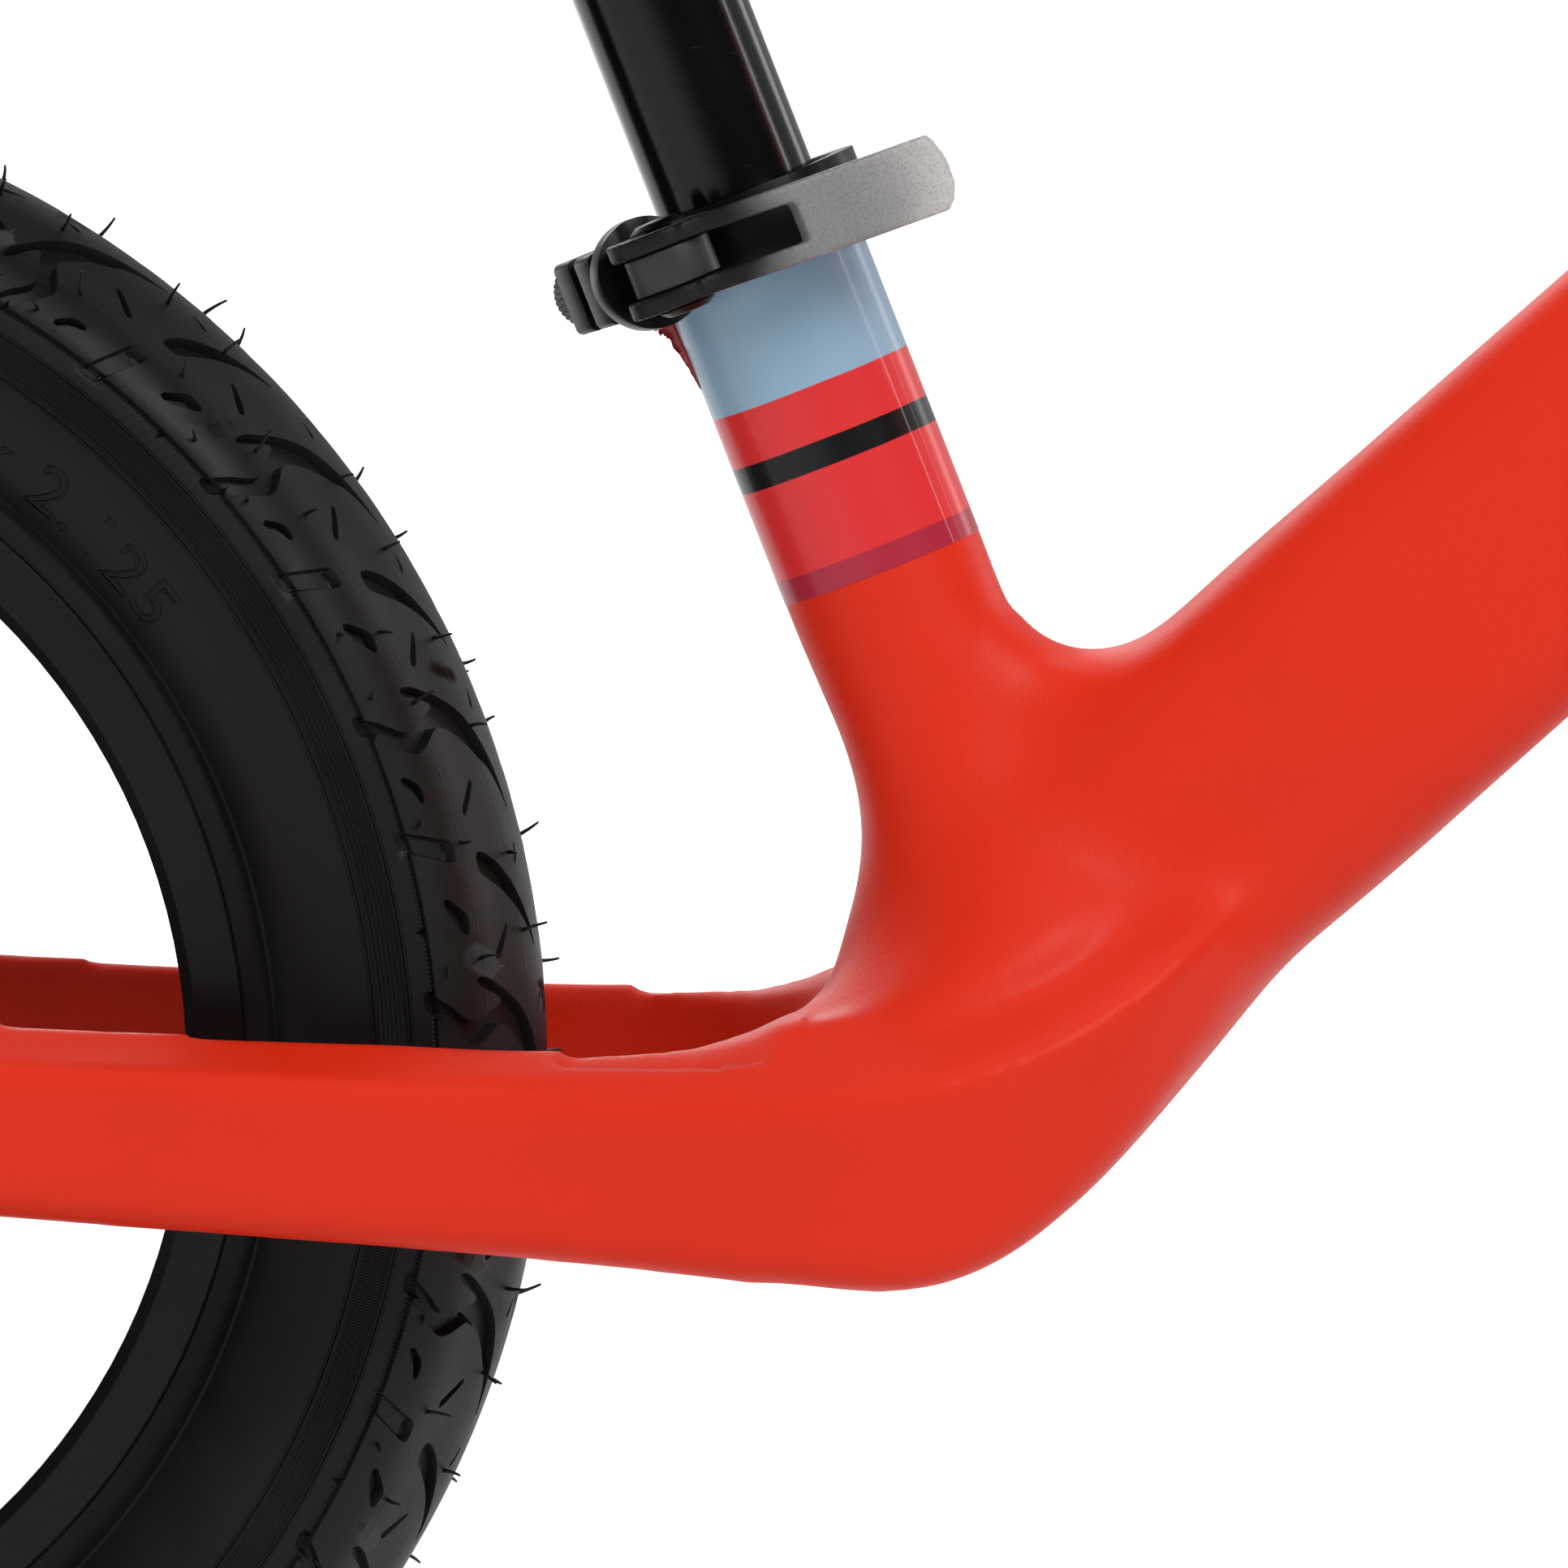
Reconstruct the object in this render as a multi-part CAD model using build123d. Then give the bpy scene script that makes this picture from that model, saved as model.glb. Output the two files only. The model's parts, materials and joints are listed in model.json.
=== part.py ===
"""Child's balance bike: two 12 inch wheels, a cast frame with a forked rear, a rigid fork,
a height-adjustable T-bar and a saddle on a quick-release seat post.

Millimetres. +X is forward, +Y is the rider's left, +Z is up. The origin is on the ground,
midway between the two wheels.
"""

from build123d import *
import os
from math import asin, atan2, cos, degrees, radians, sin, sqrt, tan

# ---------------------------------------------------------------- driving dimensions
# whole bike
wheelbase = 565.0
hub_spacing = 82.0              # between the two stays, and between the fork blades
running_gap = 0.3               # between faces that turn past each other
running_fit = 0.05              # radial, shaft in a turning bore
sliding_fit = 0.05              # radial, post in a tube
clamp_fit = 0.05                # radial, collar round a tube
bolt_fit = 0.2                  # radial, bolt in a plain hole

# tyre and tube (50-203)
bead_seat_diameter = 203.0
tyre_height = 49.5
tyre_width = 50.0
tyre_wall = 3.5
tread_thickness = 6.0
shoulder_step = 1.3
rim_line_rib = 1.6
tube_gap = 0.4

# wheel casting
rim_width = 30.0
flange_height = 5.5
flange_thickness = 3.0
rim_lip_depth = 4.7             # bead seat to the rim's inner lip
rim_well_drop = 2.0
hub_radius = 21.0
hub_barrel_radius = 15.0
spoke_count = 5
spoke_root_width = 19.0
spoke_tip_width = 13.0
spoke_root_depth = 19.0
spoke_tip_depth = 15.0
first_spoke_angle = -6.0        # from straight ahead
valve_angle = 174.0
valve_diameter = 9.4
valve_length = 32.0             # bead seat to the valve's tip
valve_tip_diameter = 7.7        # threaded metal end
valve_tip_length = 11.0

# hub bearing, axle and nuts
bearing_bore = 10.0
bearing_outer = 26.0
bearing_width = 8.0
bearing_inset = 0.5
spacer_outer = 15.0
washer_outer = 21.0
washer_thickness = 1.6
nut_across_flats = 15.0
nut_height = 9.0
nut_dome = 3.5
axle_proud = 1.0                # axle inside the dome of the nut

# seat tube and seat post
seat_angle = 68.45              # from level ground
seat_axis_reach = 193.15        # a point on the tube's axis, ahead of the rear axle
seat_axis_rise = 102.6          # and above it
seat_tube_diameter = 31.8
seat_post_diameter = 25.4
seat_tube_top = 34.0            # along the axis, from that point
seat_bore_depth = 146.0
seat_slot_width = 2.4
seat_slot_length = 26.0
seat_post_wall = 2.0
seat_post_length = 172.0
seat_post_inserted = 100.0

# main beam
beam_reach = 296.0              # a point on the beam's centre line, ahead of the rear axle
beam_rise = 78.6
beam_head_share = 0.535         # of the head tube's length, where the centre line meets it
beam_height = 51.4
beam_width = 40.0
beam_front_height = 48.0
beam_front_width = 37.0
beam_corner = 13.0
beam_root = 78.0                # from that point back into the yoke
valley_radius = 14.4            # between the seat tube and the beam
flare_radius = 36.0             # concave foot of the seat tube
flare_start = 86.0              # down the tube from its top
foot_reach = 11.0               # middle of the foot's oval, ahead of the crotch
foot_rise = 8.0                 # and above the axle
foot_half_length = 35.0
foot_half_width = 40.0

# stays and yoke
stay_thickness = 14.0
crotch_gap = 45.6               # tyre to the bottom of the fork of the stays
stay_bottom = 20.0              # under the axle, half way along
stay_top = 10.0
ridge_height = 4.0
yoke_depth = 29.2               # lowest point under the axle
dropout_radius = 16.0
dropout_thickness = 8.0
dropout_relief = 2.0            # the stays slim down by this towards the axle
dropout_rim = 3.0               # rim left round the nut's pocket
section_corner = 7.0
ridge_corner = 2.5

# head tube, headset and steering axis
head_angle = 69.0
fork_offset = 25.0
head_tube_outer = 42.0
head_tube_bore = 34.0
head_tube_length = 96.0
cup_outer = 44.0
cup_stack = 11.0
cup_skirt = 9.0
headset_race_outer = 37.0
headset_race_height = 6.0
crown_race_height = 2.5
top_cap_height = 7.0

# fork
steerer_outer = 28.6
steerer_wall = 1.55
steerer_slot = 18.0
fork_arch_clearance = 15.0      # tyre to the underside of the crown
crown_height = 3.6              # crown's seat above the arch
blade_thickness = 13.0
blade_root_depth = 28.0
blade_tip_depth = 19.0
blade_taper = 3.0               # in thickness, over the blade's length
fork_end_radius = 15.0
fork_end_thickness = 7.0

# handlebar
bar_diameter = 22.2
bar_wall = 2.0
bar_half_width = 195.0
bar_flat = 32.0
bar_rise = 28.0
bar_sweep_back = 22.0
bar_bend = 30.0
bar_post_wall = 2.0
bar_post_inserted = 96.0
bar_post_exposed = 118.0
grip_length = 108.0
grip_radius = 15.0
grip_flange_radius = 21.0
grip_end_radius = 19.0
grip_ribs = 9
grip_cap = 5.0

# clamps
collar_wall = 3.4
collar_height = 12.5
ear_height = 11.5
ear_reach = 6.5                 # ear beyond the bolt's axis
ear_offset = 23.5               # tube axis to bolt axis
ear_thickness = 6.0
slit_width = 2.5
qr_turn = 31.0                  # slit from straight behind, towards the rider's right
clamp_bolt = 5.0
lever_height = 12.0
lever_thickness = 3.6
lever_pin = 4.2
pin_head_radius = 4.6
cam_radius = 8.3
cam_offset = 0.6                # lobes' centre from the pin
eye_radius = 6.8
fork_prong = 2.8
fork_slot = 25.0                # length of the slot in the lever's forked end
pad_radius = 8.7
pad_thickness = 6.4
nut_thickness = 7.0
nut_radius = 5.8
bar_collar_height = 14.0
screw_head = 8.5
screw_head_height = 5.0

# saddle
saddle_length = 214.0
saddle_width = 128.0
saddle_nose_width = 46.0
cushion_thickness = 31.0
shell_thickness = 4.0
saddle_back_share = 0.50        # of the length, behind the post
bracket_width = 46.0
bracket_length = 66.0
bracket_plate = 3.0
bracket_socket_height = 24.0
bracket_socket_wall = 3.0

# ---------------------------------------------------------------- derived sizes
bead_radius = bead_seat_diameter / 2
rim_lip_radius = bead_radius - rim_lip_depth
tyre_radius = bead_radius + tyre_height
flange_radius = bead_radius + flange_height
half_hub = hub_spacing / 2
rear_x = -wheelbase / 2
front_x = wheelbase / 2
crotch_reach = tyre_radius + crotch_gap
stay_half_width = half_hub + stay_thickness
steerer_bore = steerer_outer - 2 * steerer_wall
bar_post_diameter = steerer_bore - 2 * sliding_fit
# heights along the steering axis, from its foot beside the front axle
arch_top = sqrt(tyre_radius ** 2 - fork_offset ** 2) + fork_arch_clearance + blade_thickness / 2
crown_seat = arch_top + blade_thickness / 2 + crown_height
head_tube_start = crown_seat + crown_race_height + cup_stack
head_tube_end = head_tube_start + head_tube_length
cap_top = head_tube_end + cup_stack + top_cap_height
steerer_top = cap_top + running_gap + bar_collar_height
clamp_centre = seat_tube_top - collar_height / 2 + 0.8


def side(reach, rise, y=0.0):
    """A point given from the rear axle, in bike coordinates."""
    return Vector(rear_x + reach, y, tyre_radius + rise)


seat_plane = Plane(
    origin=side(seat_axis_reach, seat_axis_rise),
    x_dir=(sin(radians(seat_angle)), 0, cos(radians(seat_angle))),
    z_dir=(-cos(radians(seat_angle)), 0, sin(radians(seat_angle))),
)
steer_plane = Plane(
    origin=Vector(
        front_x - fork_offset * sin(radians(head_angle)),
        0,
        tyre_radius - fork_offset * cos(radians(head_angle)),
    ),
    x_dir=(sin(radians(head_angle)), 0, cos(radians(head_angle))),
    z_dir=(-cos(radians(head_angle)), 0, sin(radians(head_angle))),
)
beam_start = side(beam_reach, beam_rise)
beam_end = steer_plane.from_local_coords((0, 0, head_tube_start + beam_head_share * head_tube_length))
beam_angle = degrees(atan2(beam_end.Z - beam_start.Z, beam_end.X - beam_start.X))
beam_plane = Plane(
    origin=beam_start,
    x_dir=(0, 1, 0),
    z_dir=(cos(radians(beam_angle)), 0, sin(radians(beam_angle))),
)


def tilted(plane, about_x=0.0, about_y=0.0, about_z=0.0):
    """The plane turned about its own axes, in degrees."""
    return Plane(plane.location * Rot(about_x, about_y, about_z))


# profiles of turned parts are drawn with radius along x and width along y
turning_plane = Plane(origin=(0, 0, 0), x_dir=(1, 0, 0), z_dir=(0, 0, 1))


def ring(plane, inner, outer, start, length):
    """A tube along the plane's normal."""
    outline = Circle(outer) - Circle(inner) if inner else Circle(outer)
    return extrude(plane.offset(start) * outline, amount=length)


def turned(points, axis=Axis.Y, plane=turning_plane):
    """A solid turned from an outline of (radius, width) points."""
    outline = make_face(Polyline(*[plane.from_local_coords(Vector(*p)) for p in points], close=True))
    return revolve(outline, axis)


def turned_on(plane, points):
    """A solid turned about a plane's normal, from (radius, height) points."""
    outline = make_face(Polyline(*[(r, 0, h) for r, h in points], close=True))
    return plane.location * revolve(outline, Axis.Z)


def save(name, *solids):
    """Write one node, as one solid or as a group of separate ones."""
    shape = solids[0] if len(solids) == 1 else Compound(children=list(solids))
    shape.label = name
    export_step(shape, f"parts/{name}.step")


# ---------------------------------------------------------------- wheels
def wheel_casting():
    """Rim, spokes and hub shell in one casting, about the Y axis."""
    half_rim = rim_width / 2
    inside = half_rim - flange_thickness
    rim = turned([
        (rim_lip_radius, -half_rim + 2.0), (rim_lip_radius, half_rim - 2.0),
        (rim_lip_radius + 2.0, half_rim), (flange_radius - 1.0, half_rim),
        (flange_radius, half_rim - 1.0), (flange_radius, inside + 0.6),
        (flange_radius - 0.8, inside), (bead_radius, inside),
        (bead_radius - rim_well_drop, inside - 6.0), (bead_radius - rim_well_drop, 6.0 - inside),
        (bead_radius, -inside), (flange_radius - 0.8, -inside),
        (flange_radius, -inside - 0.6), (flange_radius, 1.0 - half_rim),
        (flange_radius - 1.0, -half_rim), (rim_lip_radius + 2.0, -half_rim),
    ])
    shell_half = half_hub - running_gap - 7.0
    hub = turned([
        (0, -shell_half), (hub_radius, -shell_half), (hub_radius, 9.0 - shell_half),
        (hub_barrel_radius + 3, 16.0 - shell_half), (hub_barrel_radius + 3, shell_half - 16.0),
        (hub_radius, shell_half - 9.0), (hub_radius, shell_half), (0, shell_half),
    ])
    casting = rim + hub
    root = Plane(origin=(hub_barrel_radius, 0, 0), x_dir=(0, 1, 0), z_dir=(1, 0, 0))
    tip = root.offset(rim_lip_radius + 0.8 - hub_barrel_radius)
    spoke = loft([
        root * RectangleRounded(spoke_root_depth, spoke_root_width, 4.0),
        tip * RectangleRounded(spoke_tip_depth, spoke_tip_width, 3.5),
    ])
    for turn in range(spoke_count):
        angle = first_spoke_angle + turn * 360 / spoke_count
        casting += Rot(0, -angle, 0) * spoke
    bore = bearing_bore / 2 + 3.0
    seat = bearing_outer / 2
    depth = bearing_width + bearing_inset
    casting -= turned([
        (0, -shell_half - 1), (seat, -shell_half - 1), (seat, depth - shell_half),
        (bore, depth - shell_half), (bore, shell_half - depth), (seat, shell_half - depth),
        (seat, shell_half + 1), (0, shell_half + 1),
    ])
    hole = Pos(bead_radius - 5, 0, 0) * (Rot(0, 90, 0) * Cylinder(valve_diameter / 2, 30))
    return casting - Rot(0, -valve_angle, 0) * hole


def tyre():
    """Pneumatic tyre: a casing with beads, rim-line rib and a stepped tread."""
    half_rim = rim_width / 2
    bead_out = half_rim - flange_thickness - 0.15
    widest = tyre_width / 2
    belly = bead_radius + tyre_height / 2
    shoulder = belly + 11.0
    side_wall = Spline(
        (flange_radius + rim_line_rib + 1.6, half_rim + 0.6),
        (belly, widest),
        (shoulder, widest - 1.7),
        tangents=[(0.55, 1), (0.95, -0.42)],
    )
    crown = Spline(
        (shoulder + 0.4, widest - 1.7 + shoulder_step * 0.6),
        (tyre_radius - 4.2, widest * 0.52),
        (tyre_radius, 0),
        tangents=[(1, -0.25), (0, -1)],
    )
    foot = Polyline(
        (tyre_radius - tread_thickness, 0),
        (tyre_radius - tread_thickness - 3.0, widest * 0.5),
        (shoulder - 3, widest - tyre_wall - 2.0),
        (belly, widest - tyre_wall),
        (flange_radius + 3, half_rim - 1.2),
        (bead_radius + 4.0, bead_out - 4.2),
        (bead_radius + 0.2, bead_out - 3.6),
        (bead_radius + 0.2, bead_out),
        (flange_radius + 0.3, bead_out),
        (flange_radius + 0.3, half_rim - 0.6),
        (flange_radius + rim_line_rib, half_rim + 1.6),
        (flange_radius + rim_line_rib + 1.6, half_rim + 0.6),
    )
    step = Line((shoulder, widest - 1.7), (shoulder + 0.4, widest - 1.7 + shoulder_step * 0.6))
    centre = Line((tyre_radius, 0), (tyre_radius - tread_thickness, 0))
    half = make_face([foot, side_wall, step, crown, centre])
    whole = half + mirror(half, Plane.XZ)
    return revolve(whole, Axis.Y)


def inner_tube():
    """Air tube with its valve: a sleeved stem through the rim and a bare threaded tip."""
    outer = tyre_radius - tread_thickness - 0.8
    inner = bead_radius + 4.6
    minor = (outer - inner) / 2 - tube_gap
    ring_tube = Rot(90, 0, 0) * Torus((outer + inner) / 2, minor)
    tip_end = bead_radius - valve_length
    stem_start = tip_end + valve_tip_length
    stem = ring(Plane.YZ, 0, valve_diameter / 2 - bolt_fit, stem_start, inner + minor - stem_start)
    tip = ring(Plane.YZ, 0, valve_tip_diameter / 2, tip_end, valve_tip_length)
    return Rot(0, -valve_angle, 0) * (ring_tube + stem + tip)


def hub_bearings():
    """The two sealed bearings of one hub, with the seal's groove in each outer face."""
    outer_face = half_hub - running_gap - 7.0 - bearing_inset
    radius_in = bearing_bore / 2 + running_fit
    radius_out = bearing_outer / 2 - 0.01
    rings = []
    for sign in (-1, 1):
        face = sign * outer_face
        back = sign * (outer_face - bearing_width)
        groove = sign * (outer_face - 0.8)
        rings.append(turned([
            (radius_in, back), (radius_out, back), (radius_out, face), (radius_out - 2.2, face),
            (radius_out - 2.2, groove), (radius_in + 2.0, groove), (radius_in + 2.0, face),
            (radius_in, face),
        ]))
    return rings


def axle_set(support_outer):
    """Axle, spacers, washers and domed nuts; the ends clamp a support on each side."""
    outer_face = half_hub - running_gap - 7.0 - bearing_inset
    half_axle = support_outer + washer_thickness + nut_height - axle_proud
    shaft = ring(Plane.XZ, 0, bearing_bore / 2, -half_axle, 2 * half_axle)
    spacers, nuts = [], []
    start = outer_face + running_gap
    washer_in = support_outer
    nut_in = support_outer + washer_thickness
    for sign in (-1, 1):
        spacers.append(turned([
            (bearing_bore / 2 + 0.02, sign * start), (spacer_outer / 2 - 0.8, sign * start),
            (spacer_outer / 2 - 0.8, sign * (start + 1.5)), (spacer_outer / 2, sign * (start + 1.5)),
            (spacer_outer / 2, sign * half_hub), (bearing_bore / 2 + 0.02, sign * half_hub),
        ]))
        washer = turned([
            (bearing_bore / 2 + 0.02, sign * washer_in), (washer_outer / 2, sign * washer_in),
            (washer_outer / 2, sign * (nut_in - 0.3)), (washer_outer / 2 - 0.3, sign * nut_in),
            (bearing_bore / 2 + 0.02, sign * nut_in),
        ])
        hexagon = extrude(
            Plane(origin=(0, sign * nut_in, 0), x_dir=(1, 0, 0), z_dir=(0, sign, 0))
            * RegularPolygon(nut_across_flats / 2, 6, major_radius=False),
            amount=nut_height,
        )
        top = nut_in + nut_height
        cone = turned([
            (0, sign * nut_in), (nut_across_flats * 0.62, sign * nut_in),
            (nut_across_flats * 0.62, sign * (top - 1.6)), (nut_across_flats / 2 - 1, sign * top),
            (0, sign * top),
        ])
        dome = turned([
            (0, sign * (top - 1)), (nut_across_flats / 2 - 1.5, sign * (top - 1)),
            (nut_across_flats / 2 - 1.9, sign * (top + nut_dome * 0.55)),
            (nut_across_flats / 4, sign * (top + nut_dome * 0.92)), (0, sign * (top + nut_dome)),
        ])
        bore = ring(
            Plane(origin=(0, sign * (nut_in - 1), 0), x_dir=(1, 0, 0), z_dir=(0, sign, 0)),
            0, bearing_bore / 2 + 0.02, 0, nut_height + 1 - axle_proud + 0.1,
        )
        nuts += [washer, (hexagon & cone) + dome - bore]
    return shaft, spacers, nuts


# ---------------------------------------------------------------- frame casting
def yoke_section(reach, bottom, ridge, top, half_width, half_top, half_bottom):
    """One upright section across both stays: flat sides, a ridge and a sloping top face."""
    plane = Plane(origin=side(reach, 0), x_dir=(0, 1, 0), z_dir=(1, 0, 0))
    outline = FilletPolyline(
        (half_width, ridge), (half_top, top), (-half_top, top), (-half_width, ridge),
        (-half_bottom, bottom), (half_bottom, bottom),
        radius=[ridge_corner, ridge_corner, ridge_corner, ridge_corner, section_corner, section_corner],
        close=True,
    )
    return plane * make_face(outline)


def yoke():
    """The forked rear: one smooth body from the rear axle to the beam, split for the wheel."""
    wide = stay_half_width
    stays = [
        (0, -0.62 * stay_bottom, 6.0, 0.95 * dropout_radius, wide - dropout_relief, half_hub, wide - 4),
        (0.53 * tyre_radius, -stay_bottom, ridge_height, stay_top, wide, half_hub, wide - 3),
        (crotch_reach - 41, -24.8, 1.8, stay_top - 1.6, wide, half_hub, wide - 3),
    ]
    shoulder = (crotch_reach - 8, -yoke_depth + 1.2, 1.2, stay_top + 1.0, wide, half_hub - 1, wide - 4)
    neck = [
        (crotch_reach + 14, -yoke_depth, 2.6, 14.5, wide - 1, 33.0, wide - 6),
        (crotch_reach + 34, -21.6, 8.0, 21.0, 50.0, 25.0, 43.0),
        (crotch_reach + 48, -8.2, 14.8, 28.0, 42.5, 20.0, 34.0),
        (crotch_reach + 60, 6.2, 24.0, 37.0, 30.5, 16.0, 23.0),
        (crotch_reach + 69, 18.6, 33.0, 44.0, 19.5, 12.0, 13.5),
    ]
    body = loft([yoke_section(*station) for station in stays + [shoulder]])
    body += loft([yoke_section(*station) for station in [shoulder] + neck])
    slot_length = crotch_reach + hub_spacing
    slot = extrude(
        Plane(origin=side(crotch_reach - slot_length / 2, -tyre_radius))
        * SlotOverall(slot_length, hub_spacing),
        amount=2 * tyre_radius,
    )
    rear_cut = Pos(rear_x - wide / 2, 0, tyre_radius) * Box(wide, 3 * wide, 2 * wide)
    return body - slot - rear_cut


def dropouts():
    """Round ends of the stays round the rear axle."""
    ends = []
    for sign in (-1, 1):
        inner = Plane(
            origin=side(0, 0, sign * half_hub), x_dir=(1, 0, 0), z_dir=(0, sign, 0)
        )
        ends.append(extrude(inner * Circle(dropout_radius), amount=stay_thickness - dropout_relief))
    return ends


def dropout_pockets():
    """Round recesses in the outer faces, where the axle nuts seat."""
    pockets = []
    for sign in (-1, 1):
        seat = Plane(
            origin=side(0, 0, sign * (half_hub + dropout_thickness)), x_dir=(1, 0, 0),
            z_dir=(0, sign, 0)
        )
        pockets.append(extrude(seat * Circle(dropout_radius - dropout_rim), amount=stay_thickness))
    return pockets


def beam():
    """The slanted main beam, a rounded box that slims a little towards the head tube."""
    head_distance = (beam_end - beam_start).length
    return loft([
        beam_plane.offset(-beam_root) * RectangleRounded(beam_width - 2, beam_height - 1, beam_corner),
        beam_plane.offset(-0.35 * beam_root) * RectangleRounded(beam_width, beam_height, beam_corner),
        beam_plane * RectangleRounded(beam_width, beam_height, beam_corner),
        beam_plane.offset(head_distance)
        * RectangleRounded(beam_front_width, beam_front_height, beam_corner),
    ])


def frame():
    """The whole frame casting."""
    body = yoke() + beam()
    for end in dropouts():
        body += end
    body += ring(seat_plane, 0, seat_tube_diameter / 2, seat_tube_top - seat_bore_depth, seat_bore_depth)
    body += ring(steer_plane, 0, head_tube_outer / 2, head_tube_start, head_tube_length)
    body += valley_web() + seat_flare()
    faced = cup_outer / 2 + beam_front_height
    body -= ring(steer_plane, 0, faced, head_tube_end, cup_stack + top_cap_height + beam_front_height)
    body -= ring(steer_plane, 0, faced, head_tube_start - beam_front_height, beam_front_height)
    body -= ring(
        seat_plane, 0, seat_post_diameter / 2 + sliding_fit, seat_tube_top - seat_bore_depth + 8,
        seat_bore_depth,
    )
    body -= ring(steer_plane, 0, head_tube_bore / 2, head_tube_start - 1, head_tube_length + 2)
    slot_mid = seat_tube_top - seat_slot_length / 2 + 2
    body -= (seat_plane.offset(slot_mid) * Pos(-seat_tube_diameter / 2, 0, 0)
             * Box(seat_tube_diameter / 2, seat_slot_width, seat_slot_length + 4))
    axle_hole = ring(Plane.XZ, 0, bearing_bore / 2 + bolt_fit, -2 * half_hub, 4 * half_hub)
    axle_slot = Pos(0, 0, -dropout_radius / 2 - 4) * Box(
        bearing_bore + 2 * bolt_fit, 4 * half_hub, dropout_radius + 8)
    for pocket in dropout_pockets():
        body -= pocket
    return body - Pos(side(0, 0)) * (axle_hole + Rot(0, 30, 0) * axle_slot)


def seat_flare():
    """Concave foot that spreads the seat tube down to a wide oval inside the yoke."""
    top = seat_tube_top - flare_start
    root = seat_tube_diameter / 2 - 0.01
    sections = []
    for share in (0.02, 0.35, 0.7):
        depth = share * flare_radius
        radius = root + flare_radius - sqrt(flare_radius ** 2 - depth ** 2)
        sections.append(seat_plane.offset(top - depth) * Circle(radius))
    oval = Plane(origin=side(crotch_reach + foot_reach, foot_rise), x_dir=(1, 0, 0), z_dir=(0, 0, 1))
    sections.append(oval * Ellipse(foot_half_length, foot_half_width))
    rear_limit = extrude(
        Plane(origin=side(crotch_reach - wheelbase / 2, -tyre_radius))
        * SlotOverall(wheelbase, hub_spacing),
        amount=2 * tyre_radius,
    )
    return loft(sections) - rear_limit


def valley_web():
    """Metal that fills the root of the V between the seat tube and the beam, with a round valley."""
    seat_front = seat_tube_diameter / 2
    lean = radians(90 - seat_angle)
    slope = radians(beam_angle)
    # the two edges in the side view: the tube's front edge and the beam's top edge
    tube_point = seat_plane.from_local_coords((seat_front, 0, 0))
    beam_point = beam_plane.origin + Vector(-sin(slope), 0, cos(slope)) * (beam_height / 2)
    tube_dir = Vector(-sin(lean), 0, cos(lean))
    beam_dir = Vector(cos(slope), 0, sin(slope))
    gap = beam_point - tube_point
    determinant = tube_dir.X * -beam_dir.Z + tube_dir.Z * beam_dir.X
    along_tube = (gap.X * -beam_dir.Z + gap.Z * beam_dir.X) / determinant
    corner = tube_point + tube_dir * along_tube
    opening = radians(seat_angle) + slope
    half_angle = (radians(180) - opening) / 2
    reach = valley_radius / tan(half_angle)
    on_tube = corner + tube_dir * reach
    on_beam = corner + beam_dir * reach
    bisector = (tube_dir + beam_dir).normalized()
    middle = corner + bisector * (valley_radius / sin(half_angle) - valley_radius)
    below = corner - bisector * 18
    outline = make_face([
        ThreePointArc(on_tube, middle, on_beam),
        Line(on_beam, below),
        Line(below, on_tube),
    ])
    half = min(seat_tube_diameter, beam_width) / 2 - 4.5
    return extrude(outline, amount=half, dir=(0, 1, 0), both=True)


# ---------------------------------------------------------------- headset and fork
def headset_cups():
    """Two pressed cups, one at each end of the head tube."""
    skirt = head_tube_bore / 2 - 0.01
    inner = headset_race_outer / 2 - 4.0
    cups = []
    for end, sign in ((head_tube_start, -1), (head_tube_end, 1)):
        cups.append(turned_on(steer_plane.offset(end), [
            (steerer_outer / 2 + 1.2, -sign * cup_skirt), (skirt, -sign * cup_skirt), (skirt, 0),
            (cup_outer / 2 - 1.0, 0), (cup_outer / 2, sign * 2.0),
            (cup_outer / 2 - 0.5, sign * (cup_stack - 1.0)), (cup_outer / 2 - 1.5, sign * cup_stack),
            (headset_race_outer / 2, sign * cup_stack),
            (headset_race_outer / 2, sign * (cup_stack - headset_race_height)),
            (inner, sign * (cup_stack - headset_race_height)),
        ]))
    return cups


def headset_bearings():
    """Two angular bearings, carried in the cups and turning with the steerer."""
    bearings = []
    for end, sign in ((head_tube_start, -1), (head_tube_end, 1)):
        low = cup_stack - headset_race_height + running_gap
        high = cup_stack
        bearings.append(turned_on(steer_plane.offset(end), [
            (steerer_outer / 2, sign * low), (headset_race_outer / 2 - running_gap, sign * low),
            (headset_race_outer / 2 - running_gap, sign * (high - 1.2)),
            (headset_race_outer / 2 - running_gap - 1.2, sign * high),
            (steerer_outer / 2, sign * high),
        ]))
    return bearings


def crown_race():
    """The race pressed on the steerer, between the crown and the lower bearing."""
    top = head_tube_start - cup_stack
    return turned_on(steer_plane.offset(top - crown_race_height), [
        (steerer_outer / 2, 0), (headset_race_outer / 2 - 0.8, 0),
        (headset_race_outer / 2 - 1.6, crown_race_height), (steerer_outer / 2, crown_race_height),
    ])


def headset_cap():
    """The cover cone above the upper bearing."""
    return turned_on(steer_plane.offset(head_tube_end + cup_stack), [
        (steerer_outer / 2, 0), (headset_race_outer / 2 - 2.0, 0),
        (headset_race_outer / 2 - 2.0, running_gap), (cup_outer / 2 - 0.5, running_gap),
        (cup_outer / 2 - 0.5, 1.6), (cup_outer / 2 - 4.0, top_cap_height - 0.8),
        (cup_outer / 2 - 5.0, top_cap_height), (steerer_outer / 2, top_cap_height),
    ])


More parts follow.
